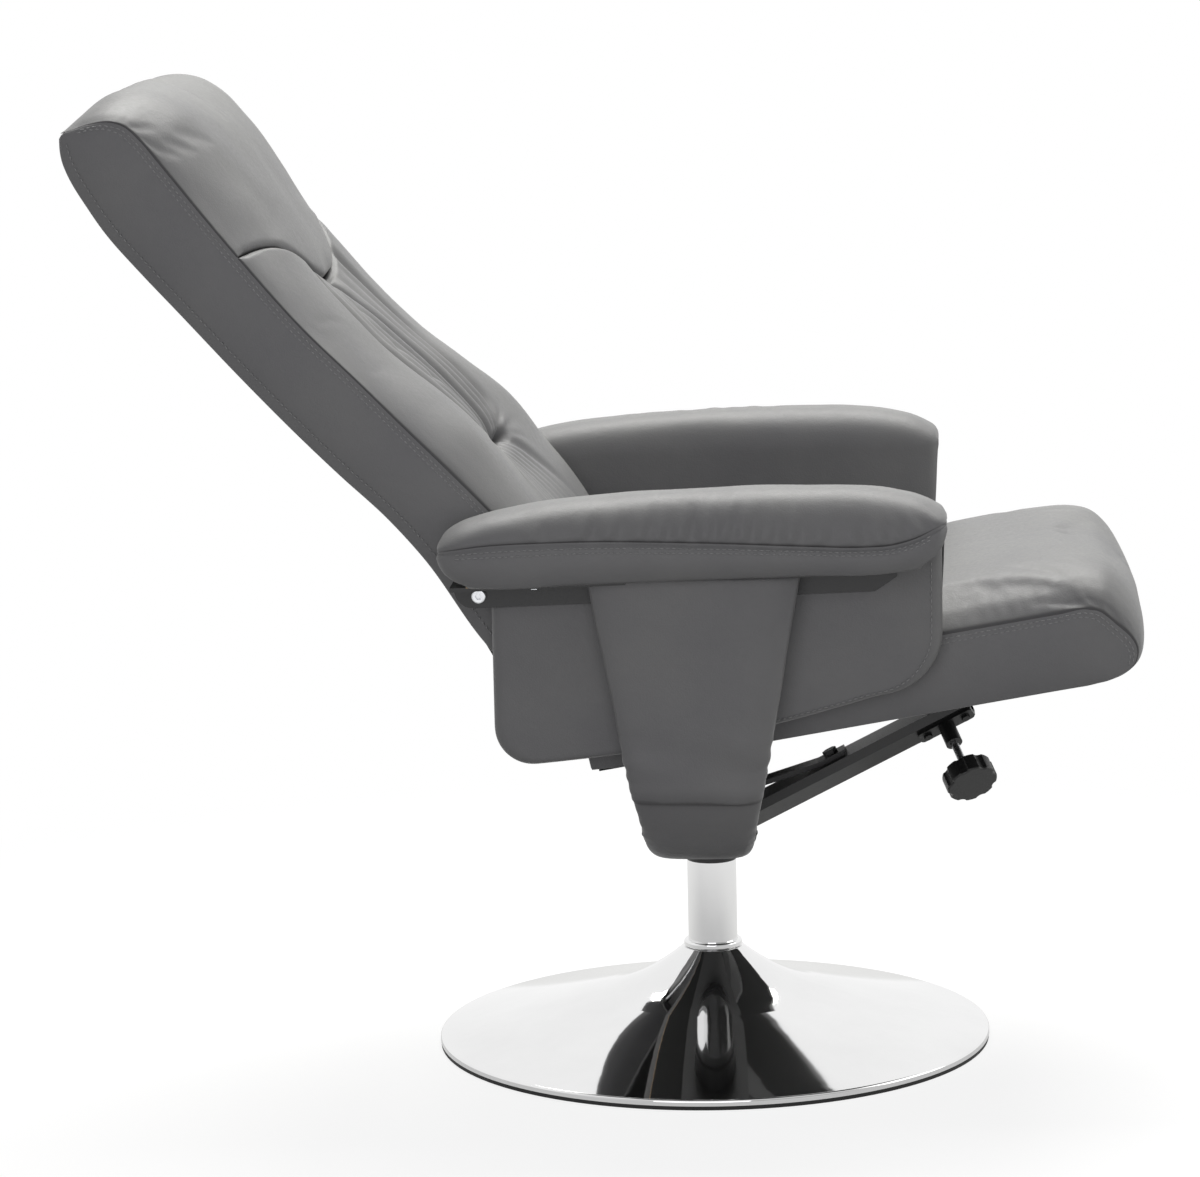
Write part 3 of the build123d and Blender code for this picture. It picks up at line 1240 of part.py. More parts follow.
os.makedirs("parts", exist_ok=True)
for name, piece in PIECES.items():
    piece.part.label = name
    export_step(piece.part, f"parts/{name}.step")
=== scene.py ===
import json
import math

import bmesh
import bpy
import numpy as np
from mathutils import Matrix, Vector, noise


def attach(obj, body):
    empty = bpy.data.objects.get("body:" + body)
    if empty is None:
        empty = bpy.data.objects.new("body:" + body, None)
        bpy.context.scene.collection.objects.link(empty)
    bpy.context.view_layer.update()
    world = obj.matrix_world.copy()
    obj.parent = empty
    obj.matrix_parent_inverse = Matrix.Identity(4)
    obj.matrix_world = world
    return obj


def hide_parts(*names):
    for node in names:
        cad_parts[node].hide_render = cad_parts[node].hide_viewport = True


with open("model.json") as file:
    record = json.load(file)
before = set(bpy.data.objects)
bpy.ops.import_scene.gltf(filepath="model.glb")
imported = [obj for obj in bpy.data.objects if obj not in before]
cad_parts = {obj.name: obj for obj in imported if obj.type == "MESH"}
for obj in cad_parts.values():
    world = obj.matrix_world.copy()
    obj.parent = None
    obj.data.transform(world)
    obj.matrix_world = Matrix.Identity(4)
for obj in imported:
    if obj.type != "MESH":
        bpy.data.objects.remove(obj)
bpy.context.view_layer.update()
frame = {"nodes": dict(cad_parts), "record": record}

# The frames of the leaning pieces: origin in metres and tilt in degrees
BACK_ORIGIN = (-0.204028, 0.0, 0.506081)
BACK_LEAN = 38.9
SEAT_ORIGIN = (0.0, 0.0, 0.342)
SEAT_TILT = 9.6

# Camera, fitted to the base rim, the column and the arms
CAMERA_DISTANCE = 4.65
CAMERA_AZIMUTH = 2.3
CAMERA_ELEVATION = 15.0743
CAMERA_YAW = -1.3573
CAMERA_PITCH = 5.6583
CAMERA_ROLL = -0.9262
CAMERA_LENS = 135.59

# Cushion mesh spacing, cloth settings and stitches
SPACING = 0.006
PLEAT_SPACING = 0.004
CLOTH_FRAMES = 20
STITCH_PITCH = 0.0058
STITCH_LENGTH = 0.0042
STITCH_WIDTH = 0.0013
STITCH_SUNK = 0.0004
# Side bands and seams: rows down a band, lip turned in behind the seam, swell of a band, depth of a full
# band, shade in a seam, and closer mesh beside it
BAND_SHARES = (0.0, 0.012, 0.04, 0.1, 0.2, 0.32, 0.45, 0.58, 0.7, 0.8, 0.88, 0.94, 0.98, 1.0)
BAND_LIP = ((0.16, 0.012), (0.05, 0.006))
BAND_BULGE = 0.004
FULL_BAND = 0.06
SEAM_SHADE = 0.75
SEAM_SHADE_WIDTH = 0.0014
SEAM_DENSE = 0.002
SEAM_STEP = 0.0015
# Hidden sheets and far faces: width of a hidden sheet, places across a far face, drawing-in of a band's edges
INNER_WIDTH = 0.985
FAR_PLACES = np.linspace(0.97, -0.97, 33)
FAR_DRAWN = 0.004
SEAM_DRAWN = 0.0012

# Back, up its lean and forward of the pivot: side seam, crest of the padding and rear edge
BACK_HALF = 0.243
BACK_SEAM = ((-0.072, 0.058), (-0.042, 0.060), (0.060, 0.053), (0.110, 0.0485), (0.170, 0.0425),
             (0.225, 0.0375), (0.300, 0.0295), (0.389, 0.0270), (0.440, 0.0270), (0.500, 0.028),
             (0.536, 0.028), (0.554, 0.025), (0.567, 0.015), (0.576, 0.000), (0.582, -0.015), (0.587, -0.028))
BACK_CREST = ((-0.074, 0.066), (-0.042, 0.074), (0.060, 0.081), (0.110, 0.082), (0.170, 0.072),
              (0.225, 0.060), (0.300, 0.054), (0.389, 0.054), (0.440, 0.060), (0.500, 0.065),
              (0.540, 0.063), (0.566, 0.053), (0.583, 0.036), (0.592, 0.015), (0.593, -0.008),
              (0.588, -0.027))
BACK_REAR = ((-0.072, -0.033), (-0.042, -0.034), (0.060, -0.026), (0.110, -0.028), (0.170, -0.036),
             (0.225, -0.042), (0.300, -0.048), (0.389, -0.053), (0.440, -0.056), (0.490, -0.057),
             (0.520, -0.054), (0.542, -0.051), (0.558, -0.047), (0.570, -0.042), (0.580, -0.035),
             (0.588, -0.028))
# Bolsters by height: distance of their crest from the mid plane, and rise of the middle between them
BOLSTER_CREST = ((-0.074, 0.165), (0.110, 0.165), (0.170, 0.145), (0.215, 0.130), (0.400, 0.127))
MIDDLE_RISE = ((-0.074, 0.80), (0.030, 0.64), (0.070, 0.50), (0.106, 0.46), (0.133, 0.55), (0.160, 0.65),
               (0.190, 0.75), (0.232, 0.83), (0.266, 0.76), (0.292, 0.58), (0.320, 0.36), (0.360, 0.27),
               (0.400, 0.25))
FLANK_POWER = 0.75
# Edge of the pleated middle by height, and the groove along it
MIDDLE_EDGE = ((-0.074, 0.118), (0.000, 0.098), (0.060, 0.068), (0.088, 0.056), (0.100, 0.068),
               (0.120, 0.084), (0.150, 0.092), (0.197, 0.098), (0.235, 0.103), (0.270, 0.100),
               (0.310, 0.096), (0.345, 0.088))
EDGE_GROOVE = 0.0070
EDGE_GROOVE_WIDTH = 0.0085
# Long folds as shares of that edge: place at the tuck and at the pillow, depth, width, strength at both
# ends, and the depth of a fold with full painted shade in its valley
MIDDLE_FOLDS = ((0.26, 0.06, 0.0075, 0.075, 0.8, 1.0), (0.50, 0.42, 0.0034, 0.050, 1.0, 0.30),
                (0.68, 0.70, 0.0034, 0.050, 1.0, 0.20), (0.86, 0.90, 0.0026, 0.045, 0.9, 0.20),
                (0.05, -0.26, 0.0046, 0.060, 1.0, 0.45), (-0.20, -0.52, 0.0042, 0.065, 1.0, 0.30),
                (-0.55, -0.78, 0.0034, 0.060, 0.9, 0.20))
DEEP_FOLD = 0.0075
# How they lie: sideways wander, spread with height, swell beside a fold, and width of the painted shade in
# its valley
FOLD_WANDER = 0.03
FOLD_SPREAD = 0.7
FOLD_SWELL = 0.35
FOLD_SWELL_PLACE = 2.2
FOLD_SWELL_WIDTH = 1.6
VALLEY_WIDTH = 0.35
# Folds that fan out below the tuck: places, depth, width, and how far down they run
FAN_FOLDS = (-0.85, -0.60, -0.38, -0.18, 0.02, 0.22, 0.42, 0.62, 0.84)
FAN_DEPTH = 0.0036
FAN_WIDTH = 0.055
FAN_DROP = 0.13
# Rise of the padding, from a bolster's crest out to the side seam, and of the pillow from the middle out
BOLSTER_RISE = ((0.0, 1.0), (0.15, 0.975), (0.35, 0.86), (0.60, 0.62), (0.82, 0.36), (0.94, 0.17),
                (1.0, 0.0))
PILLOW_RISE = ((0.0, 1.0), (0.060, 1.01), (0.105, 1.01), (0.140, 0.96), (0.170, 0.84), (0.198, 0.63),
               (0.220, 0.40), (0.235, 0.19), (0.243, 0.0))
# Lower seam of the head pillow, by distance from the mid plane
PILLOW_SEAM = ((0.0, 0.3205), (0.035, 0.323), (0.060, 0.329), (0.080, 0.338), (0.095, 0.348), (0.112, 0.358),
               (0.130, 0.3665), (0.152, 0.374), (0.187, 0.383), (0.220, 0.388), (0.243, 0.390))
PILLOW_ROLL = 0.030
PILLOW_SEAM_DEPTH = 0.0048
PILLOW_SEAM_WIDTH = 0.0034
# Cover of the back: place of its hidden sheet, cap and pressure of its cloth, hold of the middle, size,
# amount and seed of its ripples, fading of folds at the pillow and the edge, shades, rows of stitches
BACK_INNER = 0.14
BACK_CLOTH = (0.012, 2.5)
MIDDLE_HOLD = 0.5
MIDDLE_HOLD_WIDTH = 0.11
BACK_RIPPLES = (0.06, 0.0014, 3.1)
PILLOW_FADE = 0.016
BACK_EDGE_FADE = 0.012
PILLOW_SHADE = 0.85
PILLOW_SHADE_WIDTH = 0.0016
VALLEY_SHADE = 0.6
REAR_SPACING = 0.008
BACK_CROWN = 0.006
BACK_STITCH_ROWS = (0.0055, 0.0095)
BACK_REAR_STITCHES = 0.012
BACK_STITCH_ENDS = (0.02, 0.03)
# Tuck of the back: height, half length, slant, place among the rows of the grid, two depths and widths,
# fading at its ends and shade
TUCK_HEIGHT = 0.090
TUCK_HALF = 0.055
TUCK_SLANT = 0.035
TUCK_SHARE = 0.415
TUCK_LINES = ((0.010, 0.0042), (0.006, 0.014))
TUCK_FADE_END = 1.25
TUCK_FADE = 0.35
TUCK_SHADE = 0.9
TUCK_SHADE_WIDTH = 0.0026
# Creases that run out from the ends of the tuck, slant and length, and short ones by the near bolster
TUCK_CREASES = ((0.55, 0.060), (-0.45, 0.050), (0.05, 0.075))
TUCK_CREASE_DEPTH = 0.0044
SHORT_CREASES = ((0.228, -0.052, 0.7), (0.180, -0.048, 0.6), (0.270, -0.040, 0.8))
SHORT_CREASE_DEPTH = 0.0026
SHORT_CREASE_LENGTH = 0.018
CREASE_WIDTH = 0.0050
SHORT_CREASE_WIDTH = 0.0045

# Seat, along its glide and up from its board: side seam, crest of the padding and bottom edge
SEAT_HALF = 0.246
SEAT_SEAM = ((-0.108, 0.068), (-0.060, 0.074), (0.060, 0.075), (0.200, 0.075), (0.300, 0.075),
             (0.360, 0.075), (0.388, 0.075), (0.401, 0.070), (0.414, 0.055), (0.425, 0.041),
             (0.429, 0.027), (0.424, 0.014), (0.411, 0.006), (0.392, 0.002))
SEAT_CREST = ((-0.114, 0.092), (-0.060, 0.106), (0.060, 0.110), (0.200, 0.111), (0.300, 0.114),
              (0.358, 0.1145), (0.393, 0.1125), (0.415, 0.105), (0.429, 0.089), (0.437, 0.066),
              (0.4395, 0.040), (0.435, 0.019), (0.421, 0.007), (0.396, 0.0015))
SEAT_UNDER = ((-0.108, 0.003), (-0.060, 0.0), (0.060, 0.0), (0.180, 0.0), (0.260, 0.0),
              (0.310, 0.0), (0.330, 0.0), (0.345, 0.0), (0.356, 0.0), (0.366, 0.0),
              (0.374, 0.0), (0.380, 0.0004), (0.386, 0.0010), (0.392, 0.002))
SEAT_RISE = ((0.0, 0.97), (0.070, 1.0), (0.130, 1.0), (0.175, 0.95), (0.205, 0.83), (0.226, 0.62),
             (0.239, 0.36), (0.246, 0.0))
# Cover of the seat: place of its hidden sheet, cap and pressure of its cloth, size, amount and seed of its
# ripples, rows of stitches, and the two hollows where thighs rest with their depth, places and widths
SEAT_INNER = 0.2
SEAT_CLOTH = (0.004, 1.5)
SEAT_RIPPLES = (0.10, 0.0014, 1.7)
SEAT_CROWN = 0.001
SEAT_STITCH_ROWS = (0.0055, 0.0100)
SEAT_STITCH_ENDS = (0.02, 0.045)
SEAT_EDGE_FADE = 0.008
SEAT_HOLLOW = 0.005
SEAT_HOLLOW_ALONG = (0.21, 0.05)
SEAT_HOLLOW_ACROSS = (0.12, 0.09)
# Gathers of the seat along its run: height, width and amount, and of each the place, height as a share, lean
SEAT_GATHER = (0.018, 0.0038, 0.0012)
SEAT_GATHERS = ((0.255, 0.5, 0.1), (0.315, 0.6, 0.1), (0.352, 0.8, -0.1), (0.386, 0.8, 0.15),
                (0.404, 1.1, 0.1), (0.418, 1.0, -0.1), (0.431, 1.3, 0.2), (0.445, 1.0, 0.0),
                (0.462, 0.7, 0.1), (0.498, 0.7, -0.2), (0.511, 0.9, -0.3), (0.523, 0.6, -0.3))

# Arms: side elevation of the pad, forward and up, and its spread from the mid plane
ARM_MIDDLE = 0.299
ARM_TOP = ((-0.239, 0.5600), (-0.237, 0.5645), (-0.232, 0.5700), (-0.222, 0.5765), (-0.200, 0.5845),
           (-0.158, 0.5935), (-0.084, 0.6025), (0.009, 0.6070), (0.102, 0.6090), (0.148, 0.6080),
           (0.190, 0.6035), (0.214, 0.5970), (0.228, 0.5895), (0.2355, 0.5835), (0.238, 0.5780))
ARM_BOTTOM = ((-0.239, 0.5490), (-0.237, 0.5430), (-0.232, 0.5355), (-0.224, 0.5290), (-0.203, 0.5240),
              (-0.095, 0.5265), (0.008, 0.5285), (0.101, 0.5310), (0.190, 0.5330), (0.208, 0.5365),
              (0.221, 0.5430), (0.230, 0.5510), (0.2355, 0.5610), (0.238, 0.5720))
ARM_SEAM = ((-0.239, 0.5550), (-0.200, 0.5610), (-0.122, 0.5650), (0.009, 0.5625), (0.110, 0.5585),
            (0.160, 0.5570), (0.190, 0.5590), (0.212, 0.5655), (0.228, 0.5730), (0.238, 0.5765))
ARM_BOARD_END = 0.2135
ARM_BOARD_LOW = 0.526
ARM_BOARD_SLOPE = 0.0314
ARM_SKIRT = 0.490
ARM_SKIRT_REAR = -0.196
ARM_SKIRT_FRONT = 0.2345
ARM_SKIRT_THICK = 0.0045
ARM_SPREAD = ((-0.239, 0.034), (-0.234, 0.040), (-0.222, 0.045), (-0.195, 0.0485), (0.0, 0.050),
              (0.195, 0.050), (0.222, 0.0465), (0.233, 0.042), (0.238, 0.035))
# Cover of the arm: cap, pressure and slack of its cloth, size, amount and seed of its ripples, groove and
# painted shade of its seam
ARM_CLOTH = (0.006, 1.5, 0.01)
ARM_RIPPLES = (0.05, 0.0011)
ARM_SEED = 5.3
ARM_SEAM_GROOVE = 0.0022
ARM_SEAM_SHADE = 0.8
# Gathers of the arm along it: height, width and amount, and of each the place, height as a share, lean
ARM_GATHER = (0.034, 0.0062, 0.0030)
ARM_GATHERS = ((-0.150, 0.4, 0.3), (-0.105, 0.7, 0.35), (-0.078, 0.5, 0.2), (-0.050, 0.9, 0.3),
               (-0.032, 0.6, 0.1), (-0.012, 1.1, 0.25), (0.012, 0.8, 0.15), (0.027, 1.2, 0.3),
               (0.046, 1.0, 0.1), (0.066, 0.6, 0.3), (0.090, 0.8, 0.2), (0.118, 0.5, 0.2),
               (0.152, 0.5, -0.2), (0.178, 0.7, -0.3), (0.196, 0.8, -0.5), (0.212, 0.7, -0.6))

# Ring of an arm pad: stations at its ends, shares of the outer band, the crown and the underside, how the
# band is drawn in and swells, and how the crown is rounded
ARM_REAR_STATIONS = (-0.239, -0.2382, -0.2365, -0.233, -0.228)
ARM_FRONT_STATIONS = (0.2255, 0.230, 0.2335, 0.2362, 0.2375, 0.238)
ARM_BAND = np.array((0, 0.06, 0.14, 0.25, 0.38, 0.5, 0.62, 0.74, 0.84, 0.91, 0.955, 0.98))
ARM_CROWN = np.concatenate([[0.0, 0.012, 0.028], np.linspace(0.05, 1, 42)])
ARM_UNDERSIDE = np.linspace(0.0, 0.94, 11)
ARM_DRAWN = 0.006
ARM_SEAM_DRAWN = 0.0015
ARM_BAND_SWELL = 0.008
ARM_FULL_BAND = 0.03
ARM_WIDEST = 0.45
ARM_ROUND_OUT = 0.72
ARM_ROUND_UP = 0.86
ARM_INNER_TURN = 0.62 * math.pi
ARM_ARCH_END = 0.80

# Legs: strip from the arm down and round the bend, as distance out and height, and its half width
LEG_PATH = ((0.310, 0.5285), (0.310, 0.470), (0.310, 0.420), (0.310, 0.380), (0.310, 0.346),
            (0.3065, 0.3205), (0.2967, 0.2995), (0.281, 0.280), (0.260, 0.264), (0.238, 0.2555),
            (0.217, 0.253), (0.1995, 0.253))
LEG_HALF_WIDTH = ((0.253, 0.047), (0.262, 0.0515), (0.275, 0.0545), (0.290, 0.0565), (0.323, 0.0635),
                  (0.422, 0.0815), (0.525, 0.0995))
LEG_HALF_THICK = 0.017
LEG_SIDES = 72
LEG_ROUND_ACROSS = 0.30
LEG_ROUND_OUT = 0.55
LEG_RIPPLES = (0.07, 0.0016)
LEG_SEED = 8.0
# Lap of a leg: height, step at it, sag, folds and waves of its edge, and puckers of the hem beside it
LEG_LAP = 0.317
LAP_STEP = 0.0022
LAP_SAG = 0.0022
LAP_FOLDS = 0.0014
LAP_WAVES = 0.0016
HEM_PUCKERS = 0.0011
# Thin black lines at the foot of a leg, along its lower corners: their top, radius and number of sides
CORNER_LINE_TOP = 0.272
CORNER_LINE_RADIUS = 0.0011
CORNER_LINE_SIDES = 8

# Side panels: outline in side elevation, forward and up, rows in from the edge, rounding and crown, and
# their faces' distances from the mid plane
PANEL_REAR = -0.194
PANEL_FRONT = 0.2335
PANEL_TOP = 0.558
PANEL_REAR_LOW = 0.340
PANEL_FRONT_LOW = 0.404
PANEL_REAR_ROUND = 0.036
PANEL_FRONT_ROUND = 0.062
PANEL_SAG = 0.010
PANEL_INSETS = np.array((0, 0.0004, 0.0016, 0.0036, 0.0065, 0.010, 0.016, 0.028, 0.050, 0.080, 0.120))
PANEL_ROUND = 0.009
PANEL_CROWN = 0.12
PANEL_CROWN_INSET = 0.05
PANEL_RIPPLES = (0.09, 0.0012)
PANEL_SEED = 11.0
PANEL_STITCH_INSET = 0.008
PANEL_INNER = 0.2565
PANEL_OUTER = 0.2818

# Room: reach of the floor, and lamps with place, size, power, aim and tint
FLOOR_REACH = 9.0
LAMPS = (
    ("top_panel", (0.0, 2.1, 4.4), 3.4, 272.0, (0.1, 0.0, 0.5), (1.0, 0.995, 0.96)),
    ("front_panel", (2.6, 0.0, 1.3), 1.8, 15.0, (0.1, 0.0, 0.5), (1.0, 1.0, 0.98)),
    ("near_panel", (-0.2, -3.4, 1.2), 2.4, 26.0, (0.0, 0.0, 0.5), (0.97, 0.96, 1.0)),
)


def smooth(knots, values, at):
    """Smooth curve through values at knots, read at given places."""
    knots = np.asarray(knots, float)
    values = np.asarray(values, float)
    at = np.clip(np.asarray(at, float), knots[0], knots[-1])
    slopes = np.gradient(values, knots, axis=0)
    index = np.clip(np.searchsorted(knots, at, side="right") - 1, 0, len(knots) - 2)
    width = knots[index + 1] - knots[index]
    share = (at - knots[index]) / width
    if values.ndim > 1:
        width = width[..., None]
        share = share[..., None]
    rise = share * share * (3 - 2 * share)
    start = share * (1 - share) ** 2 * width
    end = share * share * (share - 1) * width
    between = values[index] * (1 - rise) + values[index + 1] * rise
    return between + slopes[index] * start + slopes[index + 1] * end


def table_curve(table, at):
    """A table of place and value pairs as a smooth curve."""
    places, values = zip(*table)
    return smooth(places, values, at)


def placed(origin, tilt, along, across, up):
    """Points of a tilted frame, in the chair's frame."""
    turn = math.radians(tilt)
    x = origin[0] + along * math.cos(turn) - up * math.sin(turn)
    z = origin[2] + along * math.sin(turn) + up * math.cos(turn)
    return np.stack(np.broadcast_arrays(x, across, z), axis=-1)


def grid_normals(grid):
    """Unit normals of a grid of points."""
    normals = np.cross(np.gradient(grid, axis=0), np.gradient(grid, axis=1))
    return normals / np.maximum(np.linalg.norm(normals, axis=-1, keepdims=True), 1e-9)


def outward_normals(grid, inside):
    """Unit normals of a grid of points, on the side away from the inside."""
    normals = grid_normals(grid)
    return -normals if (normals * (grid - inside)).sum() < 0 else normals


def bump(distance, width):
    """Soft bump, 1 at no distance."""
    return np.exp(-((distance / width) ** 2))


def spread_places(start, end, step, dense=(), fine=0.0016):
    """Places along a run, closer together near the dense ones."""
    places = list(np.linspace(start, end, max(int(round((end - start) / step)), 2) + 1))
    for centre in dense:
        places = [p for p in places if abs(p - centre) > 2.6 * fine or p in (start, end)]
        near = [centre + offset * fine for offset in (-2, -1, 0, 1, 2)]
        places += [p for p in near if start < p < end]
    return np.array(sorted(set(places)))


def width_places(half, step):
    """Places across a sheet, closer together by its two side seams."""
    return spread_places(-half, half, step, (SEAM_DENSE - half, half - SEAM_DENSE), SEAM_STEP)


def run_lengths(points):
    """Distance along a line of points, from its first."""
    return np.concatenate([[0], np.cumsum(np.linalg.norm(np.diff(points, axis=0), axis=1))])


def row_quads(index):
    """Quads between the rows of a grid of vertex numbers."""
    corners = (index[:-1, :-1], index[:-1, 1:], index[1:, 1:], index[1:, :-1])
    return np.stack(corners, axis=-1).reshape(-1, 4)


def hoop_faces(rows, columns, first=0):
    """Quads of rings of vertex numbers, open at both ends."""
    index = first + np.arange(rows * columns).reshape(rows, columns)
    return row_quads(np.concatenate([index, index[:, :1]], axis=1))


def make_mesh(name, points, faces, painted_shade=None):
    """Closed, smooth-shaded mesh object from points and quads, with a painted shade value on each point."""
    mesh = bpy.data.meshes.new(name)
    mesh.from_pydata([tuple(p) for p in points], [], [tuple(int(i) for i in f) for f in faces])
    # Painted shade: how far the leather's colour is darkened at each point
    if painted_shade is not None:
        layer = mesh.attributes.new("painted_shade", "FLOAT", "POINT")
        layer.data.foreach_set("value", np.asarray(painted_shade, np.float32).ravel())
    shape = bmesh.new()
    shape.from_mesh(mesh)
    bmesh.ops.remove_doubles(shape, verts=shape.verts, dist=2e-5)
    bmesh.ops.dissolve_degenerate(shape, edges=shape.edges, dist=1e-6)
    bmesh.ops.recalc_face_normals(shape, faces=shape.faces)
    shape.to_mesh(mesh)
    shape.free()
    mesh.polygons.foreach_set("use_smooth", [True] * len(mesh.polygons))
    piece = bpy.data.objects.new(name, mesh)
    bpy.context.scene.collection.objects.link(piece)
    return piece


def pillow_faces(rows, columns):
    """Quads of a showing sheet, the hidden sheet behind it and the walls between their rims."""
    index = np.arange(rows * columns).reshape(rows, columns)
    rim = np.concatenate([index[0, :-1], index[:-1, -1], index[-1, :0:-1], index[:0:-1, 0]])
    after = np.roll(rim, -1)
    back = rows * columns
    walls = np.stack([rim, rim + back, after + back, after], axis=-1)
    quads = row_quads(index)
    return np.concatenate([quads, quads[:, ::-1] + back, walls])


def pillow_mesh(name, front, inner, painted_shade):
    """Closed cushion from its showing sheet and the hidden sheet behind it."""
    points = np.concatenate([front.reshape(-1, 3), inner.reshape(-1, 3)])
    # Painted shade values of the showing sheet; the hidden sheet has none
    creases = np.concatenate([painted_shade.ravel(), np.zeros(painted_shade.size)])
    return make_mesh(name, points, pillow_faces(*front.shape[:2]), creases)


def ring_faces(rows, columns):
    """Quads of rings of vertex numbers, each end closed by rungs from side to side."""
    half = np.arange(columns // 2 - 1)
    rungs = np.stack([half, columns - 1 - half, columns - 2 - half, half + 1], axis=-1)
    return np.concatenate([hoop_faces(rows, columns), rungs, rungs[:, ::-1] + (rows - 1) * columns])


def tube_mesh(name, rings, painted_shade):
    """Closed piece from rings of points, its two ends filled."""
    return make_mesh(name, rings.reshape(-1, 3), ring_faces(*rings.shape[:2]), painted_shade)


def faced_out(points, faces, sample):
    """The faces, turned over if the sample face looks inward."""
    corners = points[faces[sample]]
    normal = np.cross(corners[1] - corners[0], corners[2] - corners[0])
    return faces[:, ::-1] if normal @ (corners[0] - points.mean(axis=0)) < 0 else faces


def plump(points, faces, held, cap, pressure, slack=0.0):
    """Points after the cover is blown up as cloth, the held ones pinned, moved no further than a cap."""
    mesh = bpy.data.meshes.new("plump")
    mesh.from_pydata([tuple(p) for p in points], [], [tuple(int(i) for i in f) for f in faces])
    cover = bpy.data.objects.new("plump", mesh)
    bpy.context.scene.collection.objects.link(cover)
    pins = cover.vertex_groups.new(name="held")
    for number, weight in enumerate(held):
        if weight > 0:
            pins.add([number], float(weight), "REPLACE")
    cloth = cover.modifiers.new("cloth", "CLOTH")
    leather = cloth.settings
    leather.quality = 5
    leather.mass = 0.3
    leather.tension_stiffness = 20
    leather.compression_stiffness = 12
    leather.bending_stiffness = 1.5
    leather.air_damping = 2
    leather.shrink_min = -slack
    leather.use_pressure = True
    leather.uniform_pressure_force = pressure
    leather.vertex_group_mass = "held"
    leather.effector_weights.gravity = 0
    cloth.collision_settings.use_collision = False
    cloth.point_cache.frame_start = 1
    cloth.point_cache.frame_end = CLOTH_FRAMES
    scene = bpy.context.scene
    for number in range(1, CLOTH_FRAMES + 1):
        scene.frame_set(number)
    settled = cover.evaluated_get(bpy.context.evaluated_depsgraph_get())
    moved = np.array([v.co for v in settled.data.vertices])
    bpy.data.objects.remove(cover)
    scene.frame_set(1)
    shift = moved - points
    far = np.linalg.norm(shift, axis=1, keepdims=True)
    return points + shift * np.where(far > cap, cap / np.maximum(far, 1e-9), 1.0)


def plump_sheet(front, inner, pinned, cap, pressure):
    """A showing sheet blown up as cloth over its hidden sheet."""
    points = np.concatenate([front.reshape(-1, 3), inner.reshape(-1, 3)])
    held = np.concatenate([pinned.ravel(), np.ones(pinned.size)])
    faces = faced_out(points, pillow_faces(*pinned.shape), 0)
    return plump(points, faces, held, cap, pressure)[:pinned.size].reshape(front.shape)


class Nodes:
    """A node tree, with helpers that add nodes to it, give them values and join them."""

    def __init__(self, tree):
        self.tree = tree
        self.link = tree.links.new

    def add(self, kind, **values):
        """New node with its settings and the values of its sockets."""
        node = self.tree.nodes.new(kind)
        for key, value in values.items():
            if key in node.inputs:
                node.inputs[key].default_value = value
            else:
                setattr(node, key, value)
        return node

    def span(self, source, low, high, to_low, to_high, **settings):
        """A value carried from one span to another."""
        node = self.add("ShaderNodeMapRange", **settings)
        ends = {"From Min": low, "From Max": high, "To Min": to_low, "To Max": to_high}
        for label, value in ends.items():
            node.inputs[label].default_value = value
        self.link(source, node.inputs["Value"])
        return node.outputs["Result"]

    def larger(self, first, second):
        """The larger of two values."""
        node = self.add("ShaderNodeMath", operation="MAXIMUM")
        self.link(first, node.inputs[0])
        self.link(second, node.inputs[1])
        return node.outputs["Value"]

    def mixed(self, share, first, second):
        """Two shaders, mixed by a share of the second."""
        node = self.add("ShaderNodeMixShader")
        self.link(share, node.inputs["Fac"])
        self.link(first, node.inputs[1])
        self.link(second, node.inputs[2])
        return node.outputs["Shader"]


class Finish(Nodes):
    """A new material that is worked out from the place on the piece."""

    def __init__(self, name):
        self.material = bpy.data.materials.new(name)
        self.material.use_nodes = True
        super().__init__(self.material.node_tree)
        self.shader = self.tree.nodes["Principled BSDF"]
        self.place = self.add("ShaderNodeTexCoord").outputs["Object"]

    def pattern(self, kind, **values):
        """A texture node laid over the piece."""
        node = self.add(kind, **values)
        self.link(self.place, node.inputs["Vector"])
        return node

    def clouds(self, **values):
        """Cloudy pattern."""
        return self.pattern("ShaderNodeTexNoise", **values).outputs["Fac"]

    def ramp(self, source, low, high, dark, light):
        """Colour between two colours over a span of a value."""
        node = self.add("ShaderNodeValToRGB")
        for end, place, colour in zip(node.color_ramp.elements, (low, high), (dark, light)):
            end.position = place
            end.color = (*colour, 1)
        self.link(source, node.inputs["Fac"])
        return node.outputs["Color"]

    def relief(self, height, strength, distance, under=None):
        """Surface relief from a height, on top of another relief."""
        node = self.add("ShaderNodeBump", Strength=strength, Distance=distance)
        self.link(height, node.inputs["Height"])
        if under:
            self.link(under, node.inputs["Normal"])
        return node.outputs["Normal"]

    def drive(self, label, source):
        """Joins a value to a socket of the shader."""
        self.link(source, self.shader.inputs[label])

    def fix(self, label, value):
        """Sets a socket of the shader to one value."""
        self.shader.inputs[label].default_value = value


def grey(level):
    """Neutral colour."""
    return (level, level, level)


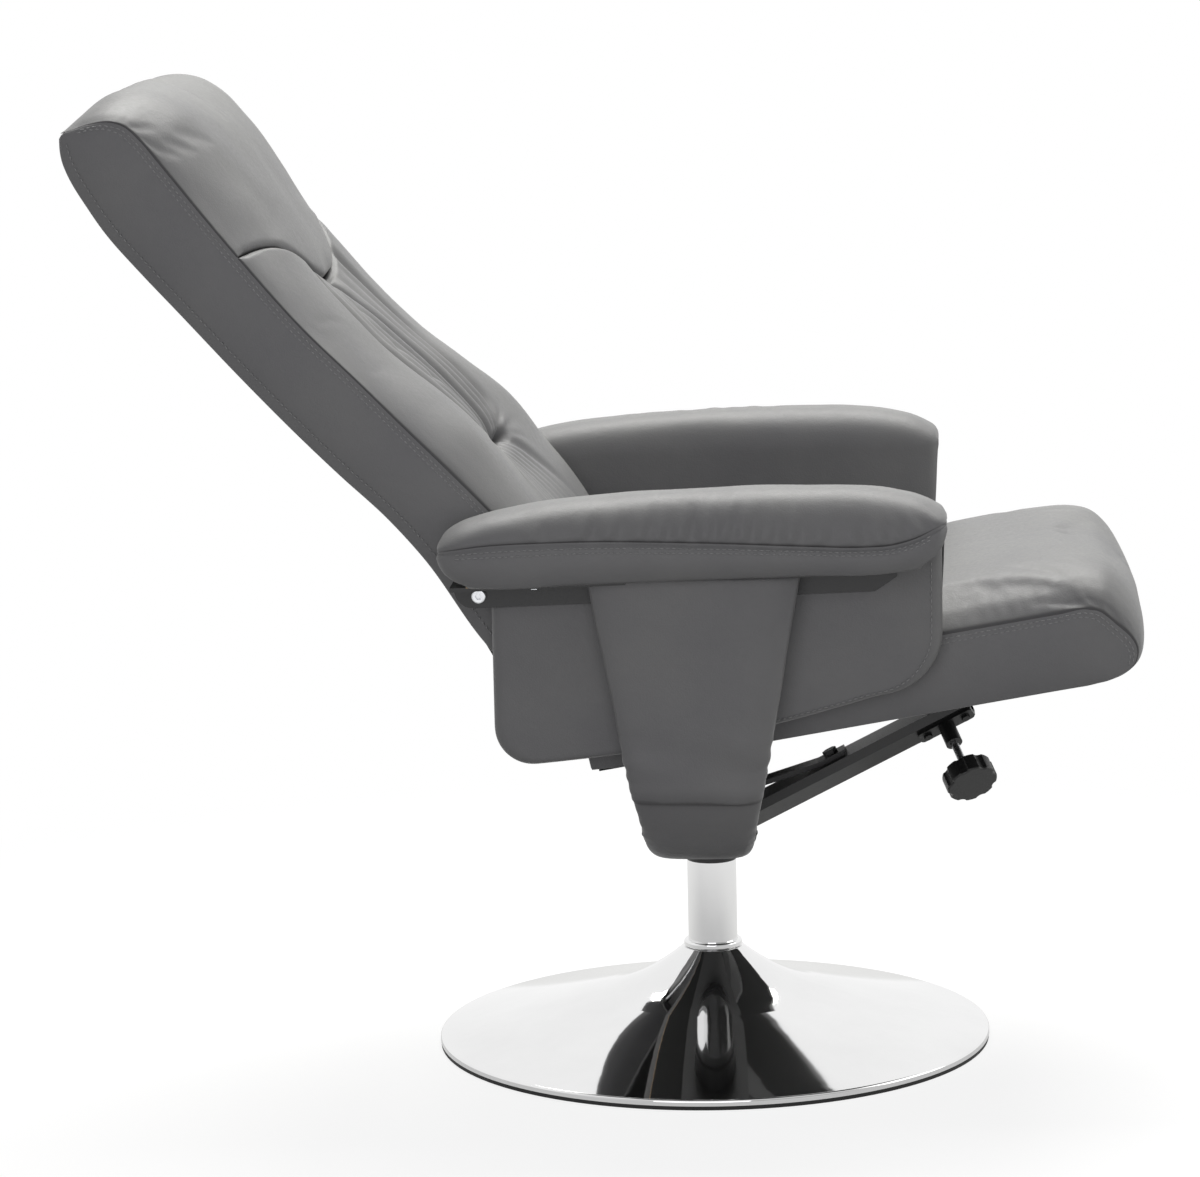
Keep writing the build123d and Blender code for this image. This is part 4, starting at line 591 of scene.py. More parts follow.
def upholstery_leather():
    """Grey coated leather: fine pebbled grain, soft creases, and painted shade that darkens it in seams, the
    tuck and fold valleys.
    """
    look = Finish("grey_upholstery")
    patches = look.clouds(Scale=9.0, Detail=4.0, Roughness=0.55)
    tint = look.ramp(patches, 0.3, 0.72, (0.186, 0.185, 0.189), (0.214, 0.213, 0.212))
    # Painted shade: the base colour is mixed towards near black by each point's painted shade value
    seam = look.add("ShaderNodeAttribute", attribute_name="painted_shade")
    shade = look.add("ShaderNodeMix", data_type="RGBA")
    look.link(seam.outputs["Fac"], shade.inputs["Factor"])
    look.link(tint, shade.inputs["A"])
    shade.inputs["B"].default_value = (0.035, 0.034, 0.035, 1)
    look.drive("Base Color", shade.outputs["Result"])
    grain = look.pattern("ShaderNodeTexVoronoi", Scale=620.0)
    pores = look.clouds(Scale=260.0, Detail=5.0, Roughness=0.6)
    creases = look.clouds(Scale=34.0, Detail=5.0, Roughness=0.5, Distortion=0.6)
    look.drive("Roughness", look.span(pores, 0.3, 0.7, 0.42, 0.54))
    fine = look.relief(grain.outputs["Distance"], 0.16, 0.0006)
    middle = look.relief(pores, 0.12, 0.0012, fine)
    look.drive("Normal", look.relief(creases, 0.10, 0.006, middle))
    look.fix("Specular IOR Level", 0.3)
    return look.material


def hard_finish(name, dark, light, metallic, rough_low, rough_high, scale, strength=0.0):
    """Finish with a mottled tint, a roughness that varies and an optional fine texture."""
    look = Finish(name)
    mottle = look.clouds(Scale=scale, Detail=4.0, Roughness=0.6)
    look.drive("Base Color", look.ramp(mottle, 0.32, 0.68, dark, light))
    look.drive("Roughness", look.span(mottle, 0.3, 0.7, rough_low, rough_high))
    look.fix("Metallic", metallic)
    if strength:
        look.drive("Normal", look.relief(mottle, strength, 0.0004))
    return look.material


def plywood_finish():
    """Birch plywood with long grain."""
    look = Finish("plywood")
    stretch = look.pattern("ShaderNodeMapping", Scale=(3, 40, 40))
    grain = look.add("ShaderNodeTexNoise", Scale=4.0, Detail=6.0, Roughness=0.6)
    look.link(stretch.outputs["Vector"], grain.inputs["Vector"])
    tint = look.ramp(grain.outputs["Fac"], 0.3, 0.7, (0.44, 0.30, 0.17), (0.62, 0.47, 0.30))
    look.drive("Base Color", tint)
    look.fix("Roughness", 0.7)
    return look.material


def cloth_finish(name, dark, light):
    """Thin woven lining."""
    look = Finish(name)
    weave = look.pattern("ShaderNodeTexChecker", Scale=900.0).outputs["Fac"]
    look.drive("Base Color", look.ramp(weave, 0.0, 1.0, dark, light))
    look.fix("Roughness", 0.85)
    look.drive("Normal", look.relief(weave, 0.3, 0.0003))
    return look.material


LEATHER = upholstery_leather()
THREAD = hard_finish("stitch_thread", grey(0.25), grey(0.33), 0.0, 0.55, 0.7, 900.0, 0.3)
CORNER_LINE_FINISH = hard_finish("black_corner_lines", grey(0.008), grey(0.014), 0.0, 0.5, 0.65, 300.0, 0.2)
FINISHES = {
    "chrome": hard_finish("chrome", grey(0.80), grey(0.86), 1.0, 0.03, 0.055, 6.0),
    "black_steel": hard_finish("black_powder_coat", grey(0.010), grey(0.017), 0.0, 0.36, 0.48, 700.0, 0.25),
    "black_bolts": hard_finish("black_oxide", grey(0.018), grey(0.032), 0.6, 0.35, 0.5, 240.0),
    "zinc_steel": hard_finish("zinc_plate", (0.50, 0.51, 0.52), (0.66, 0.67, 0.68), 1.0, 0.22, 0.34, 160.0),
    "rubber": hard_finish("black_rubber", grey(0.012), grey(0.018), 0.0, 0.6, 0.75, 400.0, 0.2),
    "nylon": hard_finish("black_nylon", grey(0.014), grey(0.022), 0.0, 0.4, 0.55, 300.0, 0.1),
    "knob_plastic": hard_finish("moulded_black", grey(0.011), grey(0.016), 0.0, 0.34, 0.46, 500.0, 0.15),
    "plywood": plywood_finish(),
    "dust_cloth": cloth_finish("black_lining", grey(0.006), grey(0.014)),
}


def finish_cad_nodes():
    """Each hard piece takes the finish of its slot."""
    for part in frame["record"]["subparts"]:
        if part["material_slot"] in FINISHES:
            node = frame["nodes"][part["node"]]
            node.data.materials.clear()
            node.data.materials.append(FINISHES[part["material_slot"]])


def soft_piece(piece, body, nodes):
    """Finishes a cushion: leather, one subdivision, its body and the solids that it stands for."""
    piece.data.materials.append(LEATHER)
    rounding = piece.modifiers.new("rounding", "SUBSURF")
    rounding.levels = 1
    rounding.render_levels = 1
    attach(piece, body)
    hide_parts(*nodes)


def stitch_tree():
    """Node tree that lays stitches along the lines of a mesh."""
    tree = bpy.data.node_groups.new("stitches", "GeometryNodeTree")
    kinds = ("Geometry", "Float", "Float", "Float", "Material")
    for label, kind in zip(("Geometry", "Pitch", "Length", "Width", "Material"), kinds):
        tree.interface.new_socket(label, in_out="INPUT", socket_type="NodeSocket" + kind)
    tree.interface.new_socket("Geometry", in_out="OUTPUT", socket_type="NodeSocketGeometry")
    nodes = Nodes(tree)
    lines = nodes.add("NodeGroupInput")
    curve = nodes.add("GeometryNodeMeshToCurve")
    even = nodes.add("GeometryNodeResampleCurve", mode="LENGTH")
    bead = nodes.add("GeometryNodeMeshUVSphere", Segments=8, Rings=5, Radius=0.5)
    heading = nodes.add("GeometryNodeInputTangent")
    turned = nodes.add("FunctionNodeAlignEulerToVector", axis="X")
    size = nodes.add("ShaderNodeCombineXYZ")
    laid = nodes.add("GeometryNodeInstanceOnPoints")
    real = nodes.add("GeometryNodeRealizeInstances")
    painted = nodes.add("GeometryNodeSetMaterial")
    result = nodes.add("NodeGroupOutput")
    joins = (
        (lines, "Geometry", curve, "Mesh"),
        (curve, "Curve", even, "Curve"),
        (lines, "Pitch", even, "Length"),
        (even, "Curve", laid, "Points"),
        (bead, "Mesh", laid, "Instance"),
        (heading, "Tangent", turned, "Vector"),
        (turned, "Rotation", laid, "Rotation"),
        (lines, "Length", size, "X"),
        (lines, "Width", size, "Y"),
        (lines, "Width", size, "Z"),
        (size, "Vector", laid, "Scale"),
        (laid, "Instances", real, "Geometry"),
        (real, "Geometry", painted, "Geometry"),
        (lines, "Material", painted, "Material"),
        (painted, "Geometry", result, "Geometry"),
    )
    for source, way_out, target, way_in in joins:
        nodes.link(source.outputs[way_out], target.inputs[way_in])
    return tree


STITCHES = stitch_tree()


def sew(name, lines, body):
    """Stitches along lines of points, as one piece on a body."""
    points, edges = [], []
    for line in lines:
        first = len(points)
        points += [tuple(p) for p in line]
        edges += [(first + i, first + i + 1) for i in range(len(line) - 1)]
    mesh = bpy.data.meshes.new(name + "_lines")
    mesh.from_pydata(points, edges, [])
    guide = bpy.data.objects.new(name + "_lines", mesh)
    bpy.context.scene.collection.objects.link(guide)
    sewing = guide.modifiers.new("stitches", "NODES")
    sewing.node_group = STITCHES
    sockets = {s.name: s.identifier for s in STITCHES.interface.items_tree if s.in_out == "INPUT"}
    values = {"Pitch": STITCH_PITCH, "Length": STITCH_LENGTH, "Width": STITCH_WIDTH, "Material": THREAD}
    for label, value in values.items():
        sewing[sockets[label]] = value
    made = bpy.data.meshes.new_from_object(guide.evaluated_get(bpy.context.evaluated_depsgraph_get()))
    bpy.data.objects.remove(guide)
    made.name = name
    thread = bpy.data.objects.new(name, made)
    bpy.context.scene.collection.objects.link(thread)
    if not made.materials:
        made.materials.append(THREAD)
    made.polygons.foreach_set("use_smooth", [True] * len(made.polygons))
    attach(thread, body)


def ripple(points, size, amount, seed):
    """Small uneven swelling of a surface, one value for each point."""
    flat = points.reshape(-1, 3)
    values = [noise.noise(Vector(p) / size + Vector((seed, seed * 0.7, -seed))) for p in flat]
    return amount * np.array(values).reshape(points.shape[:-1])


def gathers(along, above, places, height, width, amount):
    """Upright folds that stand above a seam and die away with height."""
    total = np.zeros_like(along)
    for place, tall, lean in places:
        rise = np.clip(above / (height * tall), 0, None)
        fold = bump(along - place - lean * above, width)
        flank = bump(along - place - lean * above - 1.7 * width, width)
        fade = np.where(above > 0, np.exp(-rise * rise) * np.minimum(above / 0.006, 1), 0)
        total += amount * (fold - 0.75 * flank) * fade
    return total


class Boxed:
    """A boxed cushion: side seam, crest and far edge as curves over one run, in a tilted frame."""

    def __init__(self, origin, tilt, seam, crest, under, half, upright):
        self.origin, self.tilt, self.half, self.upright = origin, tilt, half, upright
        self.seam, self.crest, self.under = (np.array(t) for t in (seam, crest, under))
        self.knots = run_lengths((self.seam + self.crest) / 2)
        self.length = self.knots[-1]

    def point(self, flat, across):
        """Points of the frame from side-elevation pairs."""
        first, second = flat[..., 0], flat[..., 1]
        if self.upright:
            return placed(self.origin, self.tilt, second, across, first)
        return placed(self.origin, self.tilt, first, across, second)

    def heights(self):
        """Height of each knot, midway between seam and crest."""
        return self.seam[:, 0] * 0.5 + self.crest[:, 0] * 0.5

    def edge(self, run):
        return smooth(self.knots, self.seam, run)

    def top(self, run):
        return smooth(self.knots, self.crest, run)

    def base(self, run):
        return smooth(self.knots, self.under, run)

    def inner(self, run, across, share):
        """Hidden sheet a share of the way from the seam to the far edge."""
        edge, base = self.edge(run), self.base(run)
        return self.point(edge + share * (base - edge), across * INNER_WIDTH)

    def band(self, run, depth, side):
        """Points of a side band at a distance below the seam."""
        edge, base = self.edge(run), self.base(run)
        height = np.maximum(np.linalg.norm(base - edge, axis=-1), 1e-6)
        share = np.clip(depth / height, 0, 1)
        swell = BAND_BULGE * 4 * share * (1 - share) * np.minimum(height / 0.05, 1)
        return self.point(edge + share[..., None] * (base - edge), side * (self.half + swell))

    def stitches(self, run, depths):
        """Lines of stitches at distances below both side seams."""
        lines = []
        for side in (-1, 1):
            for depth in depths:
                line = self.band(run, np.broadcast_to(depth, run.shape), side)
                lines.append(line - (0, side * STITCH_SUNK, 0))
        return lines

    def stitched(self, runs, after, before):
        """The runs that have stitches: past a distance from the start, and short of one from the end."""
        return runs[(runs > after) & (runs < self.length - before)]

    def tub(self, runs, crown):
        """Rings round the side bands and the far face, the showing side left to another sheet."""
        edge, base = self.edge(runs), self.base(runs)
        thick = np.minimum(np.linalg.norm(base - edge, axis=-1), FULL_BAND)
        rings = []
        for side in (1, -1):
            part = []
            for share, inset in BAND_LIP:
                part.append(self.point(edge + share * (base - edge), side * (self.half - inset)))
            for share in BAND_SHARES:
                swell = BAND_BULGE * 4 * share * (1 - share) * thick / FULL_BAND
                drawn = FAR_DRAWN * share ** 6 + SEAM_DRAWN * (1 - share) ** 14
                part.append(self.point(edge + share * (base - edge), side * (self.half + swell - drawn)))
            rings.append(part if side > 0 else part[::-1])
        floor = []
        out = base - edge
        out = out / np.maximum(np.linalg.norm(out, axis=-1, keepdims=True), 1e-6)
        for place in FAR_PLACES:
            rise = crown * (1 - place * place) * (thick / FULL_BAND)
            floor.append(self.point(base + out * rise[:, None], place * (self.half - FAR_DRAWN)))
        return np.stack(rings[0] + floor + rings[1], axis=1)


def seam_shade(rings):
    """Painted shade values of a tub: dark in the two side seams."""
    shade = np.zeros(rings.shape[:2])
    shade[:, :3] = shade[:, -3:] = SEAM_SHADE
    return shade


def held_rim(shape):
    """Pinning of a sheet that is held round its rim."""
    held = np.ones(shape)
    held[1:-1, 1:-1] = 0
    return held


def bolster_rise(reach, height):
    """Rise of the back's padding: side seam to crest, then down the flank to the middle."""
    crest = table_curve(BOLSTER_CREST, height)
    middle = table_curve(MIDDLE_RISE, height)
    inward = np.clip(reach / crest, 0, 1) ** FLANK_POWER
    flank = middle + (1 - middle) * inward * inward * (3 - 2 * inward)
    outward = table_curve(BOLSTER_RISE, np.clip((reach - crest) / (BACK_HALF - crest), 0, 1))
    return np.where(reach < crest, flank, outward)


def back_front(box):
    """Showing sheet of the back: bolsters, pleated middle and head pillow on one grid."""
    across = width_places(BACK_HALF, PLEAT_SPACING)
    seam_height = table_curve(PILLOW_SEAM, np.abs(across))
    heights = box.heights()
    grow = np.argmax(heights) + 1
    seam_run = np.interp(seam_height, heights[:grow], box.knots[:grow])
    low = spread_places(0.0, 1.0, 0.0115, (TUCK_SHARE - 0.013, TUCK_SHARE, TUCK_SHARE + 0.013, 0.985), 0.0045)
    high = np.concatenate([[0.006, 0.014, 0.024], np.linspace(0.038, 1, 54)])
    run = np.concatenate([low[:, None] * seam_run, seam_run + high[:, None] * (box.length - seam_run)])
    rows = len(low)
    across = np.broadcast_to(across, run.shape)
    reach = np.abs(across)
    edge, crest = box.edge(run), box.top(run)
    bolster = bolster_rise(reach, np.interp(run, box.knots, heights))
    pillow = table_curve(PILLOW_RISE, reach)
    roll = np.clip((run - seam_run) / PILLOW_ROLL, 0, 1)
    roll = np.sqrt(np.maximum(1 - (1 - roll) ** 2, 0))
    rise = bolster + (pillow - bolster) * roll
    flat = edge + rise[..., None] * (crest - edge)
    narrow = 1 - 0.02 * np.clip((run - box.length + 0.07) / 0.07, 0, 1) ** 2
    return run, across * narrow, box.point(flat, across * narrow), seam_run, rows


def pleats(height, across, seam_height):
    """Long folds from the pillow down to the tuck, a fan of folds below it, and the painted shade in their
    valleys.
    """
    above = np.clip((height - TUCK_HEIGHT) / np.maximum(seam_height - TUCK_HEIGHT, 0.02), 0, 1)
    below = np.clip((TUCK_HEIGHT - height) / FAN_DROP, 0, 1)
    upper = height >= TUCK_HEIGHT
    edge = table_curve(MIDDLE_EDGE, height)
    place = across / edge
    lift = np.zeros(height.shape)
    valley = np.zeros(height.shape)
    wander = FOLD_WANDER * np.sin(5 * above + 0.8) * above * (1 - above)
    for low, high, depth, width, low_strength, high_strength in MIDDLE_FOLDS:
        aside = place - (low + (high - low) * above ** FOLD_SPREAD + wander)
        strength = np.where(upper, low_strength + (high_strength - low_strength) * above, 0)
        beside, wide = FOLD_SWELL_PLACE * width, FOLD_SWELL_WIDTH * width
        swell = bump(aside - beside, wide) + bump(aside + beside, wide)
        lift += depth * strength * (FOLD_SWELL * swell - bump(aside, width))
        # Painted shade in the valley of each fold, full for a fold as deep as DEEP_FOLD
        valley = np.maximum(valley, bump(aside, VALLEY_WIDTH * width) * strength * depth / DEEP_FOLD)
    for centre in FAN_FOLDS:
        line = bump(place - centre, FAN_WIDTH) * (1 - below) ** 1.5 * np.minimum(below / 0.03, 1)
        lift -= np.where(upper, 0, FAN_DEPTH * line)
        # Painted shade in the valleys of the fan folds
        valley = np.maximum(valley, np.where(upper, 0, 0.45 * line * bump(place - centre, 0.03)))
    beside = (np.abs(place) - 1) * edge
    fade = np.where(upper, 1, 1 - below)
    lift -= EDGE_GROOVE * bump(beside, EDGE_GROOVE_WIDTH) * fade
    # Painted shade along the groove at the edge of the middle
    return lift, np.maximum(valley, 0.55 * bump(beside, 0.0020) * fade)


def tuck_depth(height, across):
    """Depth of the tuck and of the creases about it, and the painted shade in the tuck."""
    line = height - TUCK_HEIGHT + TUCK_SLANT * across
    fade = np.clip((TUCK_FADE_END - np.abs(across) / TUCK_HALF) / TUCK_FADE, 0, 1)
    depth = sum(deep * bump(line, wide) for deep, wide in TUCK_LINES) * fade
    for side in (-1, 1):
        past = side * across - TUCK_HALF
        for slant, length in TUCK_CREASES:
            rest = np.where(past > 0, (1 - np.clip(past / length, 0, 1)) ** 1.3, 0)
            depth = depth + TUCK_CREASE_DEPTH * bump(line - slant * past, CREASE_WIDTH) * rest
    for spot_height, spot_across, turn in SHORT_CREASES:
        beside, above = across - spot_across, height - spot_height
        along = beside * math.cos(turn) + above * math.sin(turn)
        over = above * math.cos(turn) - beside * math.sin(turn)
        depth = depth + SHORT_CREASE_DEPTH * bump(over, SHORT_CREASE_WIDTH) * bump(along, SHORT_CREASE_LENGTH)
    # Painted shade along the line of the tuck
    return depth, TUCK_SHADE * bump(line, TUCK_SHADE_WIDTH) * fade


def make_back():
    """Backrest upholstery: padded rear with side bands, pleated front, head pillow and stitching."""
    box = Boxed(BACK_ORIGIN, BACK_LEAN, BACK_SEAM, BACK_CREST, BACK_REAR, BACK_HALF, True)
    run, across, front, seam_run, rows = back_front(box)
    inner = box.inner(run, across, BACK_INNER)
    lower = run < seam_run
    pinned = held_rim(run.shape)
    pinned[rows - 1, :] = 1
    pinned = np.maximum(pinned, MIDDLE_HOLD * bump(across, MIDDLE_HOLD_WIDTH) * lower)
    front = plump_sheet(front, inner, pinned, *BACK_CLOTH)
    height = np.interp(run, box.knots, box.heights())
    folds, valleys = pleats(height, across, table_curve(PILLOW_SEAM, np.abs(across)))
    tuck, tuck_shade = tuck_depth(height, across)
    from_seam = np.abs(run - seam_run)
    from_edge = BACK_HALF - np.abs(across)
    under_pillow = np.clip((seam_run - run) / PILLOW_FADE, 0, 1)
    lift = folds * under_pillow - tuck * lower + ripple(front, *BACK_RIPPLES)
    lift = lift - PILLOW_SEAM_DEPTH * bump(from_seam, PILLOW_SEAM_WIDTH)
    lift = lift * np.clip(from_edge / BACK_EDGE_FADE, 0, 1)
    front = front + outward_normals(front, inner) * lift[..., None]
    # Painted shade: dark lines in the pillow seam, the tuck, the fold valleys and the side seams
    shades = (
        PILLOW_SHADE * bump(from_seam, PILLOW_SHADE_WIDTH),
        tuck_shade * lower,
        VALLEY_SHADE * valleys * under_pillow * lower,
        SEAM_SHADE * bump(from_edge, SEAM_SHADE_WIDTH),
    )
    painted_shade = np.max(shades, axis=0)
    cushion = pillow_mesh("back_cushion", front[:rows], inner[:rows], painted_shade[:rows])
    pillow = pillow_mesh("head_pillow", front[rows - 1:], inner[rows - 1:], painted_shade[rows - 1:])
    runs = spread_places(0.0, box.length, REAR_SPACING)
    rings = box.tub(runs, BACK_CROWN)
    rear = tube_mesh("back_rear", rings, seam_shade(rings))
    soft_piece(cushion, "backrest", ("back_cushion",))
    soft_piece(pillow, "backrest", ("head_pillow",))
    soft_piece(rear, "backrest", ("back_rear",))
    stitched = box.stitched(runs, *BACK_STITCH_ENDS)
    reach = np.linalg.norm(box.base(stitched) - box.edge(stitched), axis=-1)
    depths = (*BACK_STITCH_ROWS, reach - BACK_REAR_STITCHES)
    sew("back_stitches", box.stitches(stitched, depths), "backrest")


def make_seat():
    """Seat cushion: crowned top that rolls over the front, side bands and stitching."""
    box = Boxed(SEAT_ORIGIN, SEAT_TILT, SEAT_SEAM, SEAT_CREST, SEAT_UNDER, SEAT_HALF, False)
    runs = spread_places(0.0, box.length, PLEAT_SPACING)
    run, across = np.meshgrid(runs, width_places(SEAT_HALF, SPACING), indexing="ij")
    rise = table_curve(SEAT_RISE, np.abs(across))
    edge, crest = box.edge(run), box.top(run)
    front = box.point(edge + rise[..., None] * (crest - edge), across)
    inner = box.inner(run, across, SEAT_INNER)
    front = plump_sheet(front, inner, held_rim(run.shape), *SEAT_CLOTH)
    above = SEAT_HALF - np.abs(across)
    lift = gathers(run, above, SEAT_GATHERS, *SEAT_GATHER) + ripple(front, *SEAT_RIPPLES)
    place, wide = SEAT_HOLLOW_ALONG
    hollow = SEAT_HOLLOW * bump(crest[..., 0] - place, wide)
    place, wide = SEAT_HOLLOW_ACROSS
    lift = lift - hollow * bump(np.abs(across) - place, wide)
    lift = lift * np.clip(above / SEAT_EDGE_FADE, 0, 1)
    front = front + outward_normals(front, inner) * lift[..., None]
    rings = box.tub(runs, SEAT_CROWN)
    # Painted shade along the side seams of the seat top
    top = pillow_mesh("seat_cushion", front, inner, SEAM_SHADE * bump(above, SEAM_SHADE_WIDTH))
    boxing = tube_mesh("seat_boxing", rings, seam_shade(rings))
    soft_piece(top, "seat", ("seat_cushion",))
    soft_piece(boxing, "seat", ("seat_cushion",))
    stitched = box.stitched(runs, *SEAT_STITCH_ENDS)
    sew("seat_stitches", box.stitches(stitched, SEAT_STITCH_ROWS), "seat")


def arm_section(place, half, low, mark, high):
    """Ring of an arm pad at one place: up the outer band to the seam, over the crown, down and back under."""
    full = min((mark - low) / ARM_FULL_BAND, 1)
    hem = ARM_SKIRT if ARM_SKIRT_REAR < place < ARM_SKIRT_FRONT else low
    drawn = ARM_DRAWN * full * (1 - ARM_BAND) ** 4 + ARM_SEAM_DRAWN * ARM_BAND ** 8
    band = half - drawn + ARM_BAND_SWELL * full * ARM_BAND * (1 - ARM_BAND)
    angle = ARM_CROWN * (math.pi / 2 + ARM_INNER_TURN)
    past = np.clip((angle - math.pi / 2) / ARM_INNER_TURN, 0, 1)
    arch = np.clip(past / ARM_ARCH_END, 0, 1) * math.pi / 2
    wide = low + ARM_WIDEST * (high - low)
    arched = wide + (high - wide) * np.cos(arch) ** ARM_ROUND_UP
    hanging = wide + (hem - wide) * (past - ARM_ARCH_END) / (1 - ARM_ARCH_END)
    outer = angle <= math.pi / 2
    crown = half * np.where(outer, np.abs(np.cos(angle)) ** ARM_ROUND_OUT, -np.sin(arch) ** ARM_ROUND_OUT)
    outer_rise = mark + (high - mark) * np.abs(np.sin(angle)) ** ARM_ROUND_UP
    rise = np.where(outer, outer_rise, np.where(past < ARM_ARCH_END, arched, hanging))
    back = ARM_SKIRT_THICK - half
    under = back + (half * 0.94 - back) * ARM_UNDERSIDE
    board = ARM_BOARD_LOW + ARM_BOARD_SLOPE * place
    sunk = min(low, board) if abs(place) < ARM_BOARD_END else low
    sole = low + (sunk - low) * np.minimum(np.minimum(ARM_UNDERSIDE, 1 - ARM_UNDERSIDE) / 0.1, 1)
    out = np.concatenate([band, crown, [0.0006 - half, back - 0.0006, back], under])
    height = np.concatenate([low + (mark - low) * ARM_BAND, rise, [hem - 0.001, hem - 0.001, hem], sole])
    return np.stack([np.full(out.shape, place), out, height], axis=-1)


def make_arm(side, name):
    """Arm pad: boxed below its seam, crowned above it, gathered along the seam and at the front."""
    along = spread_places(-0.222, 0.220, PLEAT_SPACING)
    stations = np.concatenate([ARM_REAR_STATIONS, along, ARM_FRONT_STATIONS])
    top = table_curve(ARM_TOP, stations)
    bottom = table_curve(ARM_BOTTOM, stations)
    seam = np.clip(table_curve(ARM_SEAM, stations), bottom + 0.0015, top - 0.0015)
    spread = table_curve(ARM_SPREAD, stations)
    rings = np.array([arm_section(*row) for row in zip(stations, spread, bottom, seam, top)])
    above = rings[..., 2] - seam[:, None]
    rows, columns = above.shape
    band, underside = len(ARM_BAND), len(ARM_UNDERSIDE)
    held = np.zeros(above.shape)
    held[:3] = held[-3:] = 1
    held[:, (0, band)] = 1
    held[:, -underside - 8:] = 1
    points = rings.reshape(-1, 3)
    faces = ring_faces(rows, columns)
    faces = faced_out(points, faces, len(faces) // 2)
    rings = plump(points, faces, held.ravel(), *ARM_CLOTH).reshape(rings.shape)
    normals = outward_normals(rings, rings.mean(axis=1, keepdims=True))
    crown = (np.arange(columns) >= band) & (np.arange(columns) < columns - underside - 3)
    folds = gathers(rings[..., 0], above, ARM_GATHERS, *ARM_GATHER)
    lift = folds * crown * (rings[..., 1] > -0.010)
    lift = lift + ripple(rings, *ARM_RIPPLES, ARM_SEED + side) * (1 - held)
    lift = lift - ARM_SEAM_GROOVE * bump(above, ARM_SEAM_GROOVE) * (rings[..., 1] > 0.02)
    rings = rings + normals * lift[..., None]
    rings[..., 1] = side * (ARM_MIDDLE + rings[..., 1])
    # Painted shade along the arm's seam
    painted_shade = np.zeros(above.shape)
    painted_shade[:, band] = ARM_SEAM_SHADE
    soft_piece(tube_mesh(name, rings, painted_shade), "swivel", (name,))
    lines = []
    for column, share in ((band - 4, 0.45), (band - 5, 0.15)):
        line = rings[6:-6, column] * (1 - share) + rings[6:-6, column + 1] * share
        lines.append(line + (0, side * 0.0006, 0))
    return lines


def make_leg(side, name):
    """Leg cover: a padded strip that tapers down from the arm, laps over itself and bends under."""
    path = np.array(LEG_PATH)
    steps = run_lengths(path)
    lap_run = np.interp(-LEG_LAP, -path[:, 1], steps)
    runs = spread_places(0.0, steps[-1], PLEAT_SPACING, (lap_run,), 0.0018)
    centre = smooth(steps, path, runs)
    heading = np.gradient(centre, runs, axis=0)
    heading /= np.linalg.norm(heading, axis=1, keepdims=True)
    outward = np.stack([-heading[:, 1], heading[:, 0]], axis=1)
    turns = np.linspace(0, 2 * math.pi, LEG_SIDES + 1)[:-1]
    wide = np.sign(np.cos(turns)) * np.abs(np.cos(turns)) ** LEG_ROUND_ACROSS
    deep = np.sign(np.sin(turns)) * np.abs(np.sin(turns)) ** LEG_ROUND_OUT
    run = runs[:, None]
    above_lap = lap_run - run
    below = np.clip(-above_lap / 0.0025, -1, 1) * 0.5 + 0.5
    width = table_curve(LEG_HALF_WIDTH, centre[:, 1:]) - 0.0006 * below
    puff = 1.0 + 0.10 * np.maximum(1 - wide * wide, 0) * (deep > 0)
    sag = LAP_SAG * bump(above_lap - 0.007, 0.008)
    fold = LAP_FOLDS * np.sin(above_lap / 0.0085 + 2.2 * wide) * bump(above_lap - 0.03, 0.03)
    outside = (sag + fold * (above_lap > 0)) * (deep > 0.3)
    depth = deep * (LEG_HALF_THICK - LAP_STEP * below) * puff + outside
    shift = LAP_WAVES * np.sin(wide * 7 + 0.6) * bump(above_lap, 0.02) * (above_lap >= 0)
    base = centre[:, None] + outward[:, None] * depth[..., None]
    hem = bump(above_lap - 0.028, 0.034) + 0.8 * bump(above_lap + 0.045, 0.018)
    pucker = width + HEM_PUCKERS * hem * np.sin(run / 0.0021 + 2.0 * np.sin(run / 0.011))
    rings = np.stack([wide * pucker, base[..., 0], base[..., 1] + shift], axis=-1)
    rings = rings + grid_normals(rings) * ripple(rings, *LEG_RIPPLES, LEG_SEED + side)[..., None]
    rings[..., 1] *= side
    # Painted shade just below the edge of the lap
    painted_shade = np.broadcast_to(SEAM_SHADE * bump(above_lap + 0.0012, 0.0016), rings.shape[:2])
    soft_piece(tube_mesh(name, rings, painted_shade), "swivel", (name,))
    return rings


